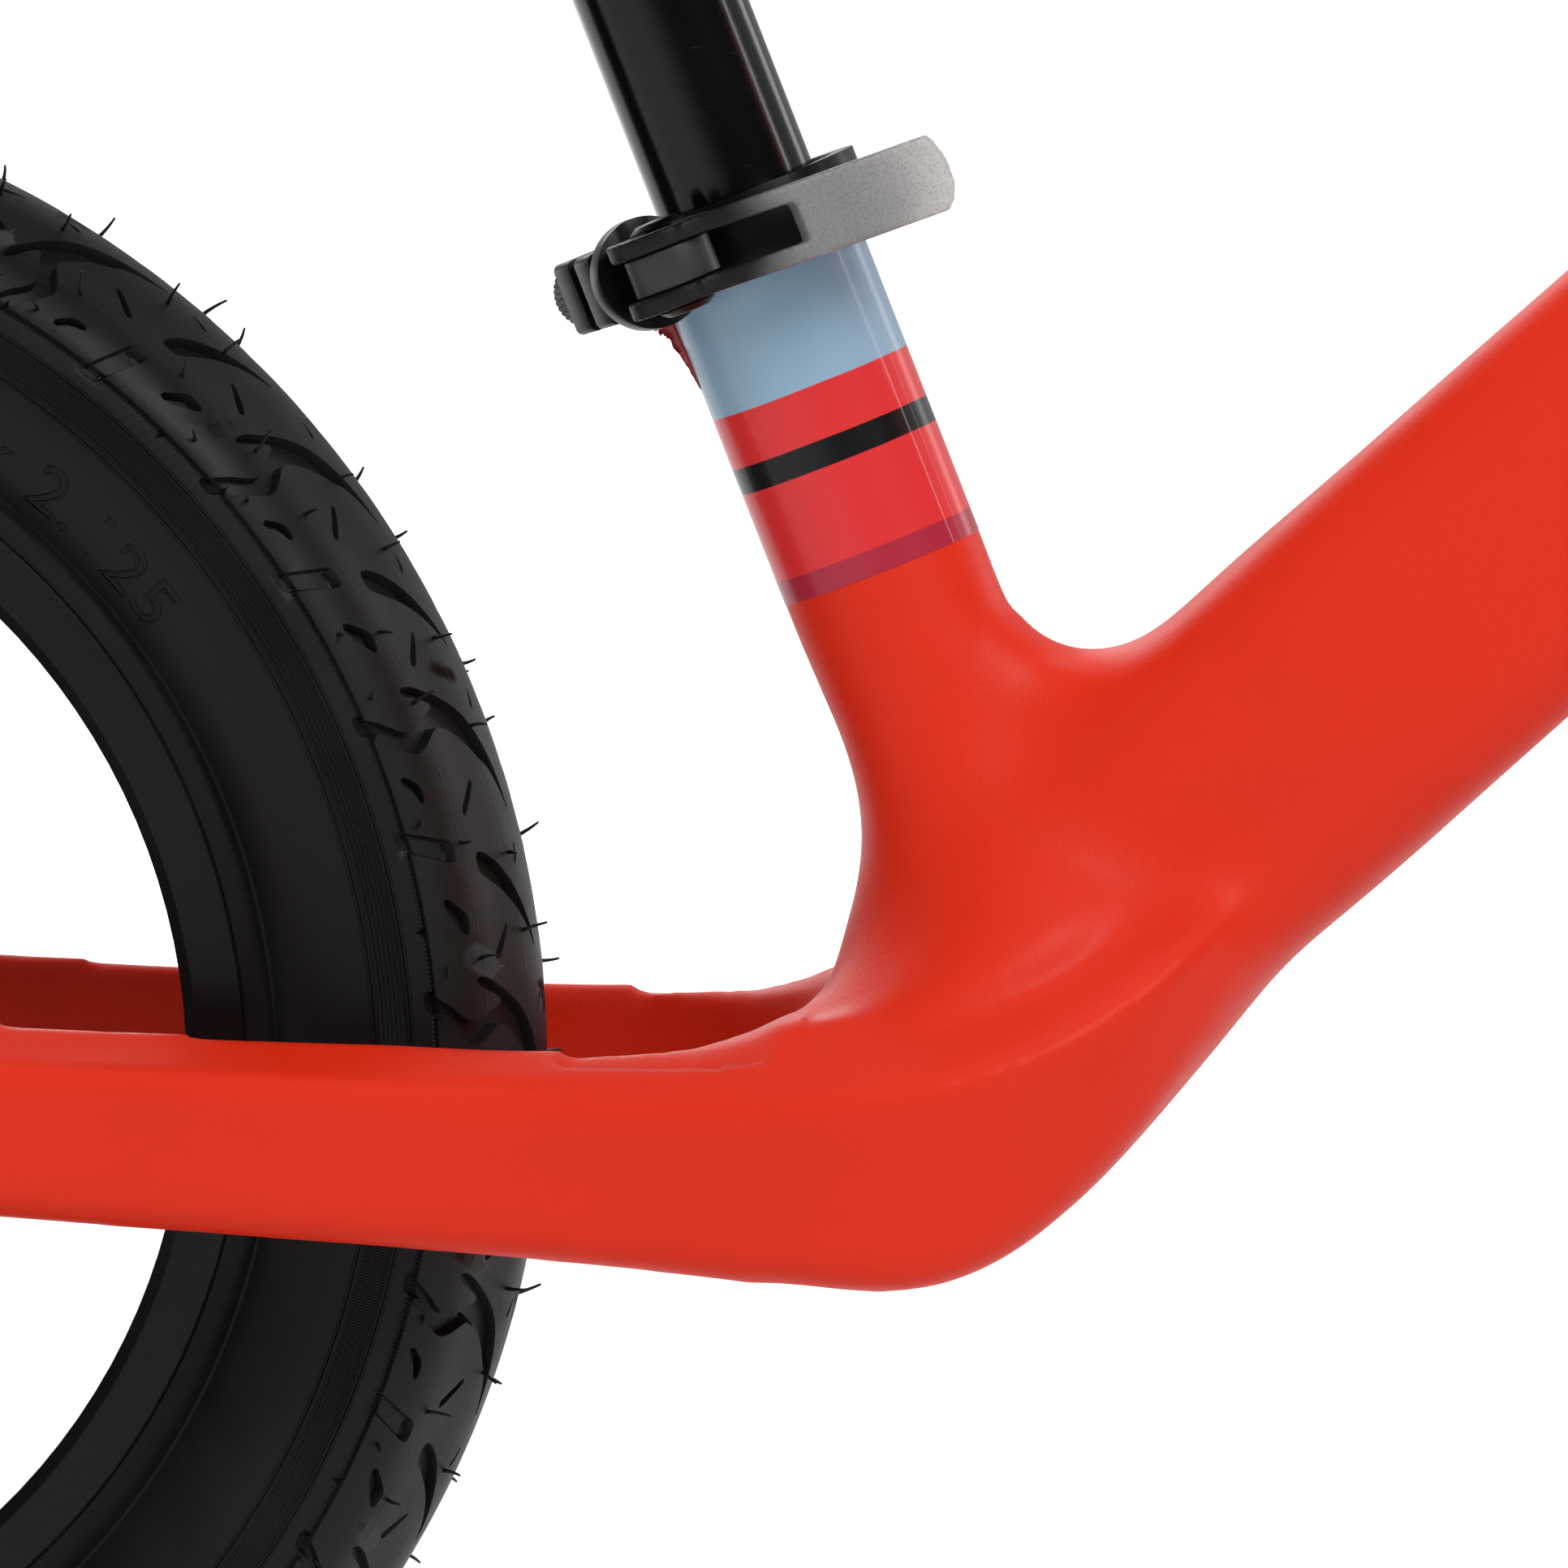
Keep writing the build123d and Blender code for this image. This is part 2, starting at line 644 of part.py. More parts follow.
def fork():
    """Steerer, arched crown and two straight blades that lean forward to the axle."""
    arch_radius = half_hub + blade_thickness / 2
    lean = degrees(atan2(fork_offset, arch_top))
    blade_plane = Plane(steer_plane.from_local_coords((0, 0, arch_top)), x_dir=(0, 1, 0),
                        z_dir=steer_plane.z_dir)
    blade_plane = tilted(blade_plane, about_x=-lean)
    blade_length = sqrt(arch_top ** 2 + fork_offset ** 2)
    straight = blade_length - arch_radius
    arch = extrude(
        Plane(origin=blade_plane.origin, x_dir=blade_plane.x_dir,
              z_dir=-blade_plane.y_dir).offset(-blade_root_depth / 2)
        * Pos(0, -arch_radius)
        * (
            Circle(arch_radius + blade_thickness / 2) - Circle(arch_radius - blade_thickness / 2)
            - Pos(0, -arch_radius) * Rectangle(4 * arch_radius, 2 * arch_radius)
        ),
        amount=blade_root_depth,
    )
    body = arch
    reach = fork_end_radius + blade_thickness / 2
    for sign in (-1, 1):
        top = blade_plane.offset(-arch_radius + 0.01) * Pos(sign * arch_radius, 0)
        tip_y = sign * (half_hub + (blade_thickness - blade_taper) / 2)
        tip = blade_plane.offset(reach - arch_radius - straight) * Pos(tip_y, 0)
        blade = loft([
            top * RectangleRounded(blade_thickness, blade_root_depth, 1.0),
            tip * RectangleRounded(blade_thickness - blade_taper, blade_tip_depth, 4.0),
        ])
        plate_plane = Plane(
            origin=(front_x, sign * half_hub, tyre_radius),
            x_dir=blade_plane.z_dir, z_dir=(0, sign, 0),
        )
        plate = extrude(
            plate_plane * (Circle(fork_end_radius) + Pos((reach + 3) / 2, 0) * Rectangle(
                reach + 3, blade_tip_depth)),
            amount=fork_end_thickness,
        )
        body += blade + plate
    body += turned_on(steer_plane, [
        (0, arch_top - 4), (headset_race_outer / 2 + 2, arch_top - 2),
        (headset_race_outer / 2 + 1, crown_seat), (0, crown_seat),
    ])
    body += ring(steer_plane, 0, steerer_outer / 2, arch_top, steerer_top - arch_top)
    body -= ring(steer_plane, 0, steerer_bore / 2, crown_seat + steerer_wall, steerer_top)
    slot = steer_plane.offset(steerer_top - steerer_slot / 2 + 1) * Pos(-steerer_outer / 2, 0, 0) * Box(
        steerer_outer / 2, seat_slot_width, steerer_slot + 2)
    body -= slot
    hole = Pos(front_x, 0, tyre_radius) * ring(
        Plane.XZ, 0, bearing_bore / 2 + bolt_fit, -2 * half_hub, 4 * half_hub)
    return body - hole


# ---------------------------------------------------------------- handlebar
def bar_plane():
    """Plane of the crossbar's centre, square to the steering axis."""
    return steer_plane.offset(steerer_top + bar_post_exposed)


def bar_path():
    """Centre line of the crossbar: a level middle, two rising bends and swept-back ends."""
    half = [
        (0, bar_flat, 0),
        (-0.35 * bar_sweep_back, bar_flat + 1.35 * bar_rise, bar_rise),
        (-bar_sweep_back, bar_half_width, bar_rise),
    ]
    left = [bar_plane().from_local_coords(p) for p in half]
    right = [bar_plane().from_local_coords((x, -y, z)) for x, y, z in half]
    return FilletPolyline(*(list(reversed(right)) + left), radius=bar_bend)


def handlebar():
    """T-bar: a crossbar welded on the post that slides in the steerer."""
    path = bar_path()
    start = Plane(origin=path @ 0, z_dir=path % 0)
    tube = sweep(start * (Circle(bar_diameter / 2) - Circle(bar_diameter / 2 - bar_wall)), path)
    low = steerer_top - bar_post_inserted
    post = ring(steer_plane, 0, bar_post_diameter / 2, low, bar_post_inserted + bar_post_exposed)
    hollow = ring(
        steer_plane, 0, bar_post_diameter / 2 - bar_post_wall, low - 1,
        bar_post_inserted + bar_post_exposed - bar_diameter / 2 - 2,
    )
    solid_bar = sweep(start * Circle(bar_diameter / 2), path)
    return (post - solid_bar) - hollow + tube


def grips():
    """Two rubber grips with a guard flange, ribs and a closed ball end."""
    path = bar_path()
    bore = bar_diameter / 2 + 0.02
    pair = []
    for end, sign in ((0, 1), (1, -1)):
        tip = path @ end
        inward = (path % end) * sign
        plane = Plane(origin=tip, x_dir=(0, 0, 1), z_dir=inward)
        pitch = (grip_length - 22) / grip_ribs
        outline = [(bore, 0), (bore, grip_length), (grip_flange_radius - 4, grip_length)]
        outline += [(grip_flange_radius, grip_length - 2), (grip_flange_radius, grip_length - 5)]
        outline += [(grip_radius + 1, grip_length - 8)]
        for rib in range(grip_ribs):
            low = grip_length - 12 - rib * pitch
            outline += [(grip_radius + 1, low), (grip_radius - 0.4, low - 1.5)]
            outline += [(grip_radius - 0.4, low - pitch + 2), (grip_radius + 1, low - pitch + 1)]
        outline += [(grip_radius + 1, 8), (grip_end_radius - 1, 4), (grip_end_radius, 1)]
        outline += [(grip_end_radius - 0.5, -2), (grip_end_radius - 5, -grip_cap), (0, -grip_cap), (0, 0)]
        pair.append(turned_on(plane, outline))
    return pair


# ---------------------------------------------------------------- clamps
def collar(plane, tube_radius, height, centre, ears_high):
    """A slit collar with two ears; the ears point along the plane's x axis."""
    outer = tube_radius + collar_wall
    start = centre - height / 2
    body = ring(plane, 0, outer, start, height)
    width = slit_width + 2 * ear_thickness
    ears = plane.offset(centre) * Pos((ear_offset + ear_reach) / 2, 0, 0) * Box(
        ear_offset + ear_reach, width, ears_high)
    ears = fillet(ears.edges().filter_by(Axis(plane.origin, plane.y_dir)), 1.2)
    body += ears
    body -= ring(plane, 0, tube_radius + clamp_fit, start - 1, height + 2)
    body -= plane.offset(centre) * Pos(ear_offset, 0, 0) * Box(2 * ear_offset, slit_width, height + 2)
    hole_plane = Plane(
        origin=plane.from_local_coords((ear_offset, 0, centre)), x_dir=plane.x_dir, z_dir=plane.y_dir)
    return body - ring(hole_plane, 0, clamp_bolt / 2 + bolt_fit, -width, 2 * width)


qr_plane = tilted(seat_plane, about_z=180 + qr_turn)
ear_half = slit_width / 2 + ear_thickness
pad_face = ear_half + pad_thickness
seat_sink = 0.2                 # the lobes sit this deep in the pad's dished face
pin_offset = pad_face + cam_radius + cam_offset - seat_sink


def qr_axis_plane():
    """Plane at the ears, with its normal along the clamp's bolt, towards the lever."""
    return Plane(
        origin=qr_plane.from_local_coords((ear_offset, 0, clamp_centre)),
        x_dir=qr_plane.x_dir, z_dir=qr_plane.y_dir,
    )


def qr_pin_plane():
    """Plane at the lever's pin, square to it."""
    return Plane(
        origin=qr_plane.from_local_coords((ear_offset, pin_offset, clamp_centre)),
        x_dir=qr_plane.x_dir, z_dir=qr_plane.z_dir,
    )


def seat_collar():
    """The seat tube's clamp, spot-faced round the dished pad and round the nut."""
    body = collar(qr_plane, seat_tube_diameter / 2, collar_height, clamp_centre, ear_height)
    body -= ring(qr_axis_plane(), 0, pad_radius + running_gap, ear_half, 2 * pad_thickness)
    far_face = -ear_half - 2 * nut_thickness
    return body - ring(qr_axis_plane(), 0, nut_radius + running_gap, far_face, 2 * nut_thickness)


def qr_lever():
    """Cam lever: an arm bowed round the tube, with a forked end whose two lobes turn on the pin."""
    pin = qr_pin_plane()
    low = clamp_centre - lever_height / 2
    root = Vector(ear_offset, pin_offset + cam_radius - lever_thickness / 2)
    bow = Spline(
        root, (ear_offset - 10.0, pin_offset + 10.6), (ear_offset - 26.0, pin_offset + 13.4),
        (ear_offset - 43.0, pin_offset + 11.6), tangents=[(-1, 0.02), (-1, -0.1)],
    )
    arm = extrude(qr_plane.offset(low) * trace(bow, lever_thickness), amount=lever_height)
    tip = Vector(ear_offset - 43.0 + lever_height * 1.02, pin_offset + 11.6, clamp_centre)
    keep = qr_plane * Pos(tip) * Rot(90, 0, 0) * Cylinder(lever_height * 1.02, 16)
    corner_block = qr_plane * Pos(tip.X - lever_height * 0.6, tip.Y, clamp_centre) * Box(
        lever_height * 1.2, 16, lever_height + 2)
    arm -= corner_block - keep
    lobes = extrude(
        pin.offset(-lever_height / 2) * Pos(0, -cam_offset) * Circle(cam_radius), amount=lever_height)
    gap_height = lever_height - 2 * fork_prong
    slot = qr_plane * Pos(ear_offset + cam_radius + 1 - fork_slot / 2, pin_offset + 4, clamp_centre) * Box(
        fork_slot + 2, 4 * cam_radius, gap_height)
    lever = arm + lobes - slot
    return lever - ring(pin, 0, lever_pin / 2 + running_fit, -lever_height, 2 * lever_height)


def qr_pin():
    """The lever's pin, with a low domed head on each prong."""
    half = lever_height / 2 + running_gap
    head = half + 1.2
    return turned_on(qr_pin_plane(), [
        (0, -head), (pin_head_radius * 0.7, -head + 0.2), (pin_head_radius, -half), (lever_pin / 2, -half),
        (lever_pin / 2, half), (pin_head_radius, half), (pin_head_radius * 0.7, head - 0.2), (0, head),
    ])


def qr_bolt():
    """Eye bolt: a threaded rod through both ears, with a round eye on the pin."""
    pin = qr_pin_plane()
    eye_height = lever_height - 2 * fork_prong - 2 * running_gap
    far_end = ear_half + nut_thickness + 1.5
    eye = ring(pin, 0, eye_radius, -eye_height / 2, eye_height)
    rod = ring(qr_axis_plane(), 0, clamp_bolt / 2, -far_end, far_end + pin_offset)
    return eye + rod - ring(pin, 0, lever_pin / 2 + 0.01, -eye_height, 2 * eye_height)


def qr_pad():
    """Dished round pad between the cam lobes and the near ear."""
    plane = qr_axis_plane()
    pad = turned_on(plane, [
        (clamp_bolt / 2 + bolt_fit, ear_half), (pad_radius - 2.2, ear_half),
        (pad_radius - 0.6, ear_half + 1.4), (pad_radius, ear_half + 3.0),
        (pad_radius, pad_face), (clamp_bolt / 2 + bolt_fit, pad_face),
    ])
    lobes = Plane(qr_pin_plane().location * Pos(0, -cam_offset, 0))
    return pad - ring(lobes, 0, cam_radius + running_gap, -lever_height, 2 * lever_height)


def qr_nut():
    """Round knurled nut on the far end of the bolt, turned by hand."""
    plane = qr_axis_plane()
    start = ear_half + running_fit
    outline = [
        (clamp_bolt / 2 + 0.02, -start), (nut_radius - 1.5, -start), (nut_radius - 1.5, -start - 1.5),
        (nut_radius, -start - 2.2), (nut_radius, -start - nut_thickness + 1),
        (nut_radius - 1, -start - nut_thickness), (clamp_bolt / 2 + 0.02, -start - nut_thickness),
    ]
    nut = turned_on(plane, outline)
    flutes = 12
    for flute in range(flutes):
        turn = 360 / flutes * flute
        cutter = plane * Rot(0, 0, turn) * Pos(nut_radius + 0.7, 0, -start - nut_thickness / 2 - 1.1)
        nut -= cutter * Cylinder(1.3, nut_thickness - 1.0)
    return nut


def bar_clamp_screw():
    """Socket screw and its captive nut through the ears of the handlebar collar."""
    plane = Plane(
        origin=bar_collar_plane().from_local_coords((ear_offset, 0, bar_collar_centre())),
        x_dir=bar_collar_plane().x_dir, z_dir=bar_collar_plane().y_dir,
    )
    screw = turned_on(plane, [
        (0, -ear_half - 4.0), (clamp_bolt / 2, -ear_half - 4.0), (clamp_bolt / 2, ear_half),
        (screw_head / 2, ear_half), (screw_head / 2, ear_half + screw_head_height - 0.5),
        (screw_head / 2 - 0.5, ear_half + screw_head_height), (0, ear_half + screw_head_height),
    ])
    socket = extrude(
        plane.offset(ear_half + screw_head_height - 2.5) * RegularPolygon(2.0, 6, major_radius=False),
        amount=3,
    )
    nut = extrude(
        plane.offset(-ear_half - 4.0) * RegularPolygon(4.0, 6, major_radius=False), amount=4.0)
    nut -= ring(plane, 0, clamp_bolt / 2 + 0.02, -ear_half - 5, 6)
    return screw - socket, nut


def bar_collar_plane():
    """The handlebar collar's plane: its ears point backwards."""
    return tilted(steer_plane, about_z=180)


def bar_collar_centre():
    """Height of the middle of the handlebar collar along the steering axis."""
    return cap_top + running_gap + bar_collar_height / 2


# ---------------------------------------------------------------- seat post and saddle
def post_top():
    """Height of the top of the post along the seat-tube axis."""
    return seat_tube_top - seat_post_inserted + seat_post_length


def seat_post():
    """Plain tube, with the insertion end open and its lower edge chamfered."""
    low = seat_tube_top - seat_post_inserted
    outer = seat_post_diameter / 2
    inner = outer - seat_post_wall
    return turned_on(seat_plane, [
        (inner, low), (outer - 0.6, low), (outer, low + 0.6), (outer, post_top()),
        (inner, post_top()),
    ])


def saddle_origin():
    """Centre of the saddle's underside: above the post, level with the ground."""
    top = seat_plane.from_local_coords((0, 0, post_top()))
    tilt_rise = seat_post_diameter / 2 * cos(radians(seat_angle))
    return Vector(top.X, 0, top.Z + tilt_rise + bracket_plate)


def saddle_outline(inset):
    """Pear-shaped plan of the saddle, drawn in from its edge."""
    back = -saddle_back_share * saddle_length + inset
    nose = (1 - saddle_back_share) * saddle_length - inset
    wide = saddle_width / 2 - inset
    slim = saddle_nose_width / 2 - inset
    flank = Spline(
        (back, 0), (back + 0.10 * saddle_length, 0.80 * wide), (back + 0.30 * saddle_length, wide),
        (back + 0.46 * saddle_length, 0.84 * wide + 0.16 * slim),
        (back + 0.60 * saddle_length, 0.5 * (wide + slim)),
        (back + 0.74 * saddle_length, 0.14 * wide + 0.86 * slim), (nose - slim, slim),
        tangents=[(0, 1), (1, 0)],
    )
    tip = CenterArc((nose - slim, 0), slim, 0, 90)
    return make_face([flank, tip, mirror(flank, Plane.XZ), mirror(tip, Plane.XZ)])


def saddle_shell():
    """Plastic pan of the saddle, with a skirt and a stiffening rib on each side."""
    base = Plane(origin=saddle_origin())
    pan = extrude(base * saddle_outline(3.0), amount=shell_thickness + 5.0)
    hollow = extrude(base.offset(-1) * saddle_outline(3.0 + shell_thickness), amount=6.0)
    rib_height = 5.0
    ribs = [
        base.offset(rib_height / 2) * Pos(0, sign * 14, 0) * Box(0.55 * saddle_length, 3, rib_height)
        for sign in (-1, 1)
    ]
    pan -= hollow
    for rib in ribs:
        pan += rib
    block = base.offset(2.5) * Box(bracket_length + 4, bracket_width + 4, 5)
    return pan + block


def saddle_cushion():
    """Padded top of the saddle, crowned and drawn in at its upper edge."""
    base = Plane(origin=saddle_origin()).offset(shell_thickness + 5.0 + 0.3)
    lower = base * saddle_outline(0.0)
    middle = base.offset(0.55 * cushion_thickness) * saddle_outline(1.5)
    upper = base.offset(cushion_thickness) * saddle_outline(14.0)
    return loft([lower, middle, upper])


def saddle_bracket():
    """Steel plate under the saddle, with a welded socket for the post."""
    origin = saddle_origin()
    plate = Plane(origin=origin - Vector(0, 0, bracket_plate))
    body = extrude(plate * RectangleRounded(bracket_length, bracket_width, 6), amount=bracket_plate)
    low = post_top() - bracket_socket_height
    outer = seat_post_diameter / 2 + bracket_socket_wall
    socket = ring(seat_plane, 0, outer, low, bracket_socket_height + 14)
    top_cut = Pos(origin) * Pos(0, 0, saddle_length / 2) * Box(saddle_length, saddle_width, saddle_length)
    body += socket - top_cut
    bore = ring(seat_plane, 0, seat_post_diameter / 2, low - 1, bracket_socket_height + 1)
    return body - bore


def saddle_screws():
    """Four pan-head screws that hold the bracket to the shell."""
    origin = saddle_origin() - Vector(0, 0, bracket_plate)
    screws = []
    for x in (-bracket_length / 2 + 7, bracket_length / 2 - 7):
        for y in (-bracket_width / 2 + 7, bracket_width / 2 - 7):
            plane = Plane(origin=origin + Vector(x, y, 0))
            screws.append(turned_on(plane, [
                (0, -2.6), (2.6, -2.6), (4.2, -1.2), (4.4, 0), (0, 0),
            ]))
    return screws


# ---------------------------------------------------------------- build
def build_wheel(prefix, x, support_outer):
    """All the nodes of one wheel and its axle."""
    place = Pos(x, 0, tyre_radius)
    shaft, spacers, nuts = axle_set(support_outer)
    save(f"{prefix}_wheel", place * wheel_casting())
    save(f"{prefix}_tyre", place * tyre())
    save(f"{prefix}_inner_tube", place * inner_tube())
    save(f"{prefix}_hub_bearings", *[place * piece for piece in hub_bearings()])
    save(f"{prefix}_axle", place * shaft)
    save(f"{prefix}_axle_spacers", *[place * piece for piece in spacers])
    save(f"{prefix}_axle_nuts", *[place * piece for piece in nuts])


def main():
    """Build every node."""
    os.makedirs("parts", exist_ok=True)
    save("frame", frame())
    build_wheel("rear", rear_x, half_hub + dropout_thickness)
    build_wheel("front", front_x, half_hub + fork_end_thickness)
    save("headset_cups", *headset_cups())
    save("headset_bearings", *headset_bearings())
    save("crown_race", crown_race())
    save("headset_cap", headset_cap())
    save("fork", fork())
    save("handlebar", handlebar())
    save("grips", *grips())
    save("bar_collar", collar(bar_collar_plane(), steerer_outer / 2, bar_collar_height,
                              bar_collar_centre(), ear_height))
    save("bar_collar_screw", *bar_clamp_screw())
    save("seat_collar", seat_collar())
    save("qr_lever", qr_lever())
    save("qr_pin", qr_pin())
    save("qr_bolt", qr_bolt())
    save("qr_pad", qr_pad())
    save("qr_nut", qr_nut())
    save("seat_post", seat_post())
    save("saddle_bracket", saddle_bracket())
    save("saddle_screws", *saddle_screws())
    save("saddle_shell", saddle_shell())
    save("saddle_cushion", saddle_cushion())


if __name__ == "__main__":
    main()
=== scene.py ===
"""A child's balance bike: paint, rubber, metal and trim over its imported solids."""

import json
import logging
import math
from dataclasses import dataclass
from enum import Enum

import bmesh
import bpy
import numpy as np
from bpy.types import Material, Mesh, Object
from mathutils import Matrix, Vector
from mathutils.geometry import delaunay_2d_cdt
from mathutils.kdtree import KDTree


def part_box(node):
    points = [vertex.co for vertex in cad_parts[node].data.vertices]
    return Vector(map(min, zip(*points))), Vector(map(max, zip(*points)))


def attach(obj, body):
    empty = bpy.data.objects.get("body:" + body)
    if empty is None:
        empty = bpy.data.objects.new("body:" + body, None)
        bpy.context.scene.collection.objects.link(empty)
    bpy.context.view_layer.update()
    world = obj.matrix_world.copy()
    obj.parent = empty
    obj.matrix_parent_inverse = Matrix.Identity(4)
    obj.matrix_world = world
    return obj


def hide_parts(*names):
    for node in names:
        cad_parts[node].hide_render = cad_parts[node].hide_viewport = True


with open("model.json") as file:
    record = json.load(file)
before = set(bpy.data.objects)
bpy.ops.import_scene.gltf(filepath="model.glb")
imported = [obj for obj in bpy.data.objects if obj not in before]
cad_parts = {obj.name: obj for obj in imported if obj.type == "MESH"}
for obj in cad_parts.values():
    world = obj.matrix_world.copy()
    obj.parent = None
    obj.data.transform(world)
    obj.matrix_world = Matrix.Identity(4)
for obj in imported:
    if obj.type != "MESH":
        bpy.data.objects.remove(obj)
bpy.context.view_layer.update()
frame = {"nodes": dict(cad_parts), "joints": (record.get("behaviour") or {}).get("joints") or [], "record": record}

log = logging.getLogger("balance_bike")
MM = 0.001
JOINTS = {joint["name"]: joint for joint in frame["joints"]}


def tone(red: float, green: float, blue: float) -> tuple[float, float, float, float]:
    """Turns a screen colour, 0 to 255, into the linear one a shader takes.

    Args:
        red: The red share.
        green: The green share.
        blue: The blue share.

    Returns:
        Linear red, green, blue and a full alpha.
    """
    shares = (red / 255, green / 255, blue / 255)
    linear = [s / 12.92 if s <= 0.04045 else ((s + 0.055) / 1.055) ** 2.4 for s in shares]
    return (linear[0], linear[1], linear[2], 1.0)


# --- shader maths


class Value:
    """A node's socket that takes part in Python arithmetic."""

    def __init__(self, nodes: "Nodes", socket: bpy.types.NodeSocket) -> None:
        """Wraps a socket of a tree."""
        self.nodes = nodes
        self.socket = socket

    def maths(self, operation: str, *others: "float | Value") -> "Value":
        """Adds one Math node whose first input is this value."""
        return self.nodes.maths(operation, self, *others)

    def __add__(self, other: "float | Value") -> "Value":
        """The sum."""
        return self.maths("ADD", other)

    __radd__ = __add__

    def __mul__(self, other: "float | Value") -> "Value":
        """The product."""
        return self.maths("MULTIPLY", other)

    __rmul__ = __mul__

    def __sub__(self, other: "float | Value") -> "Value":
        """The difference."""
        return self.maths("SUBTRACT", other)

    def __rsub__(self, other: float) -> "Value":
        """The difference from a number."""
        return self.nodes.maths("SUBTRACT", other, self)

    def __truediv__(self, other: "float | Value") -> "Value":
        """The quotient."""
        return self.maths("DIVIDE", other)

    def __mod__(self, other: float) -> "Value":
        """The remainder."""
        return self.maths("MODULO", other)

    def step(self, edge: float, width: float) -> "Value":
        """Zero below an edge and one above it, over a soft width.

        Args:
            edge: Where the share is a half.
            width: How wide the soft part is.

        Returns:
            The share.
        """
        share = self.nodes.node(
            "ShaderNodeMapRange",
            {"interpolation_type": "SMOOTHSTEP"},
            {"Value": self, "From Min": edge - width / 2, "From Max": edge + width / 2},
        )
        return Value(self.nodes, share.outputs[0])

    def between(self, low: float, high: float, width: float) -> "Value":
        """One between two edges and zero outside them, over a soft width."""
        return self.step(low, width) * (1 - self.step(high, width))


class Nodes:
    """A node tree that is filled from Python."""

    def __init__(self, tree: bpy.types.NodeTree) -> None:
        """Takes over an empty tree."""
        self.tree = tree

    def node(self, kind: str, settings: dict | None = None, inputs: dict | None = None) -> bpy.types.Node:
        """Adds a node, sets it, then fills its sockets.

        Args:
            kind: The node's type.
            settings: Properties of the node.
            inputs: A value, Value or socket for each socket's name or number.

        Returns:
            The new node.
        """
        made = self.tree.nodes.new(kind)
        for key, setting in (settings or {}).items():
            setattr(made, key, setting)
        for key, given in (inputs or {}).items():
            for one in given if isinstance(given, list) else [given]:
                if isinstance(one, Value):
                    one = one.socket
                if isinstance(one, bpy.types.NodeSocket):
                    self.tree.links.new(one, made.inputs[key])
                else:
                    made.inputs[key].default_value = one
        return made

    def value(self, kind: str, settings: dict | None = None, inputs: dict | None = None,
              output: int | str = 0) -> Value:
        """Adds a node and wraps one of its outputs."""
        return Value(self, self.node(kind, settings, inputs).outputs[output])

    def maths(self, operation: str, *values: "float | Value") -> Value:
        """Adds one Math node on the values."""
        return self.value("ShaderNodeMath", {"operation": operation}, dict(enumerate(values)))

    def parts(self, vector: Value) -> list[Value]:
        """A vector's three shares."""
        split = self.node("ShaderNodeSeparateXYZ", None, {0: vector})
        return [Value(self, output) for output in split.outputs]

    def vector(self, x: "Value | float", y: "Value | float", z: "Value | float") -> Value:
        """Three shares as one vector."""
        return self.value("ShaderNodeCombineXYZ", None, {0: x, 1: y, 2: z})

    def rays(self) -> tuple[Value, Value]:
        """Whether a ray comes from the camera, and whether it was mirrored or let through.

        Returns:
            The two answers, each 0 or 1.
        """
        path = self.node("ShaderNodeLightPath")
        kinds = ("Is Camera Ray", "Is Glossy Ray", "Is Transmission Ray")
        seen, glossy, clear = (Value(self, path.outputs[kind]) for kind in kinds)
        return seen, glossy.maths("MAXIMUM", clear)


class Surface(Nodes):
    """One material and the nodes that make it."""

    def __init__(self, name: str) -> None:
        """Makes an empty material of that name.

        Args:
            name: The material's name.
        """
        self.material = bpy.data.materials.new(name)
        self.material.use_nodes = True
        super().__init__(self.material.node_tree)
        self.tree.nodes.clear()

    def place(self) -> Value:
        """The point's place in the object's own frame."""
        return self.value("ShaderNodeTexCoord", output="Object")

    def wrap(self, layer: str = "UVMap") -> Value:
        """The point's place on the piece's own map."""
        return self.value("ShaderNodeUVMap", {"uv_map": layer})

    def along(self, vector: Value, origin: tuple, axis: tuple) -> Value:
        """How far a place lies along an axis from its origin."""
        dot = self.value("ShaderNodeVectorMath", {"operation": "DOT_PRODUCT"}, {0: vector, 1: axis}, "Value")
        return dot - sum(o * a for o, a in zip(origin, axis))

    def noise(self, vector: Value, scale: float, detail: float = 2.0, stretch: tuple = (1, 1, 1)) -> Value:
        """Soft noise from 0 to 1, with a number of grains to the metre."""
        moved = self.value("ShaderNodeMapping", None, {0: vector, "Scale": stretch})
        return self.value("ShaderNodeTexNoise", None, {"Vector": moved, "Scale": scale, "Detail": detail})

    def blend(self, share: "Value | float", first: "tuple | Value", second: "tuple | Value") -> Value:
        """Mixes two colours by a share."""
        return self.value("ShaderNodeMix", {"data_type": "RGBA"}, {0: share, 6: first, 7: second}, 2)

    def bump(self, height: Value, depth: float, strength: float = 1.0, under: Value | None = None) -> Value:
        """A normal raised by a height whose full range is a depth in metres.

        Args:
            height: The height, from 0 to 1.
            depth: Its full range.
            strength: How strongly it shows.
            under: A normal that it adds to.

        Returns:
            The raised normal.
        """
        inputs = {"Height": height, "Distance": depth, "Strength": strength}
        if under is not None:
            inputs["Normal"] = under
        return self.value("ShaderNodeBump", None, inputs)

    def eased(self, radius: float) -> Value:
        """A normal that rounds the sharp edges by a radius."""
        return self.value("ShaderNodeBevel", {"samples": 6}, {"Radius": radius})

    def close(self, inputs: dict) -> Material:
        """Ends the material in one Principled shader.

        Args:
            inputs: What its sockets get.

        Returns:
            The finished material.
        """
        shader = self.node("ShaderNodeBsdfPrincipled", None, inputs)
        self.node("ShaderNodeOutputMaterial", None, {"Surface": shader.outputs[0]})
        return self.material


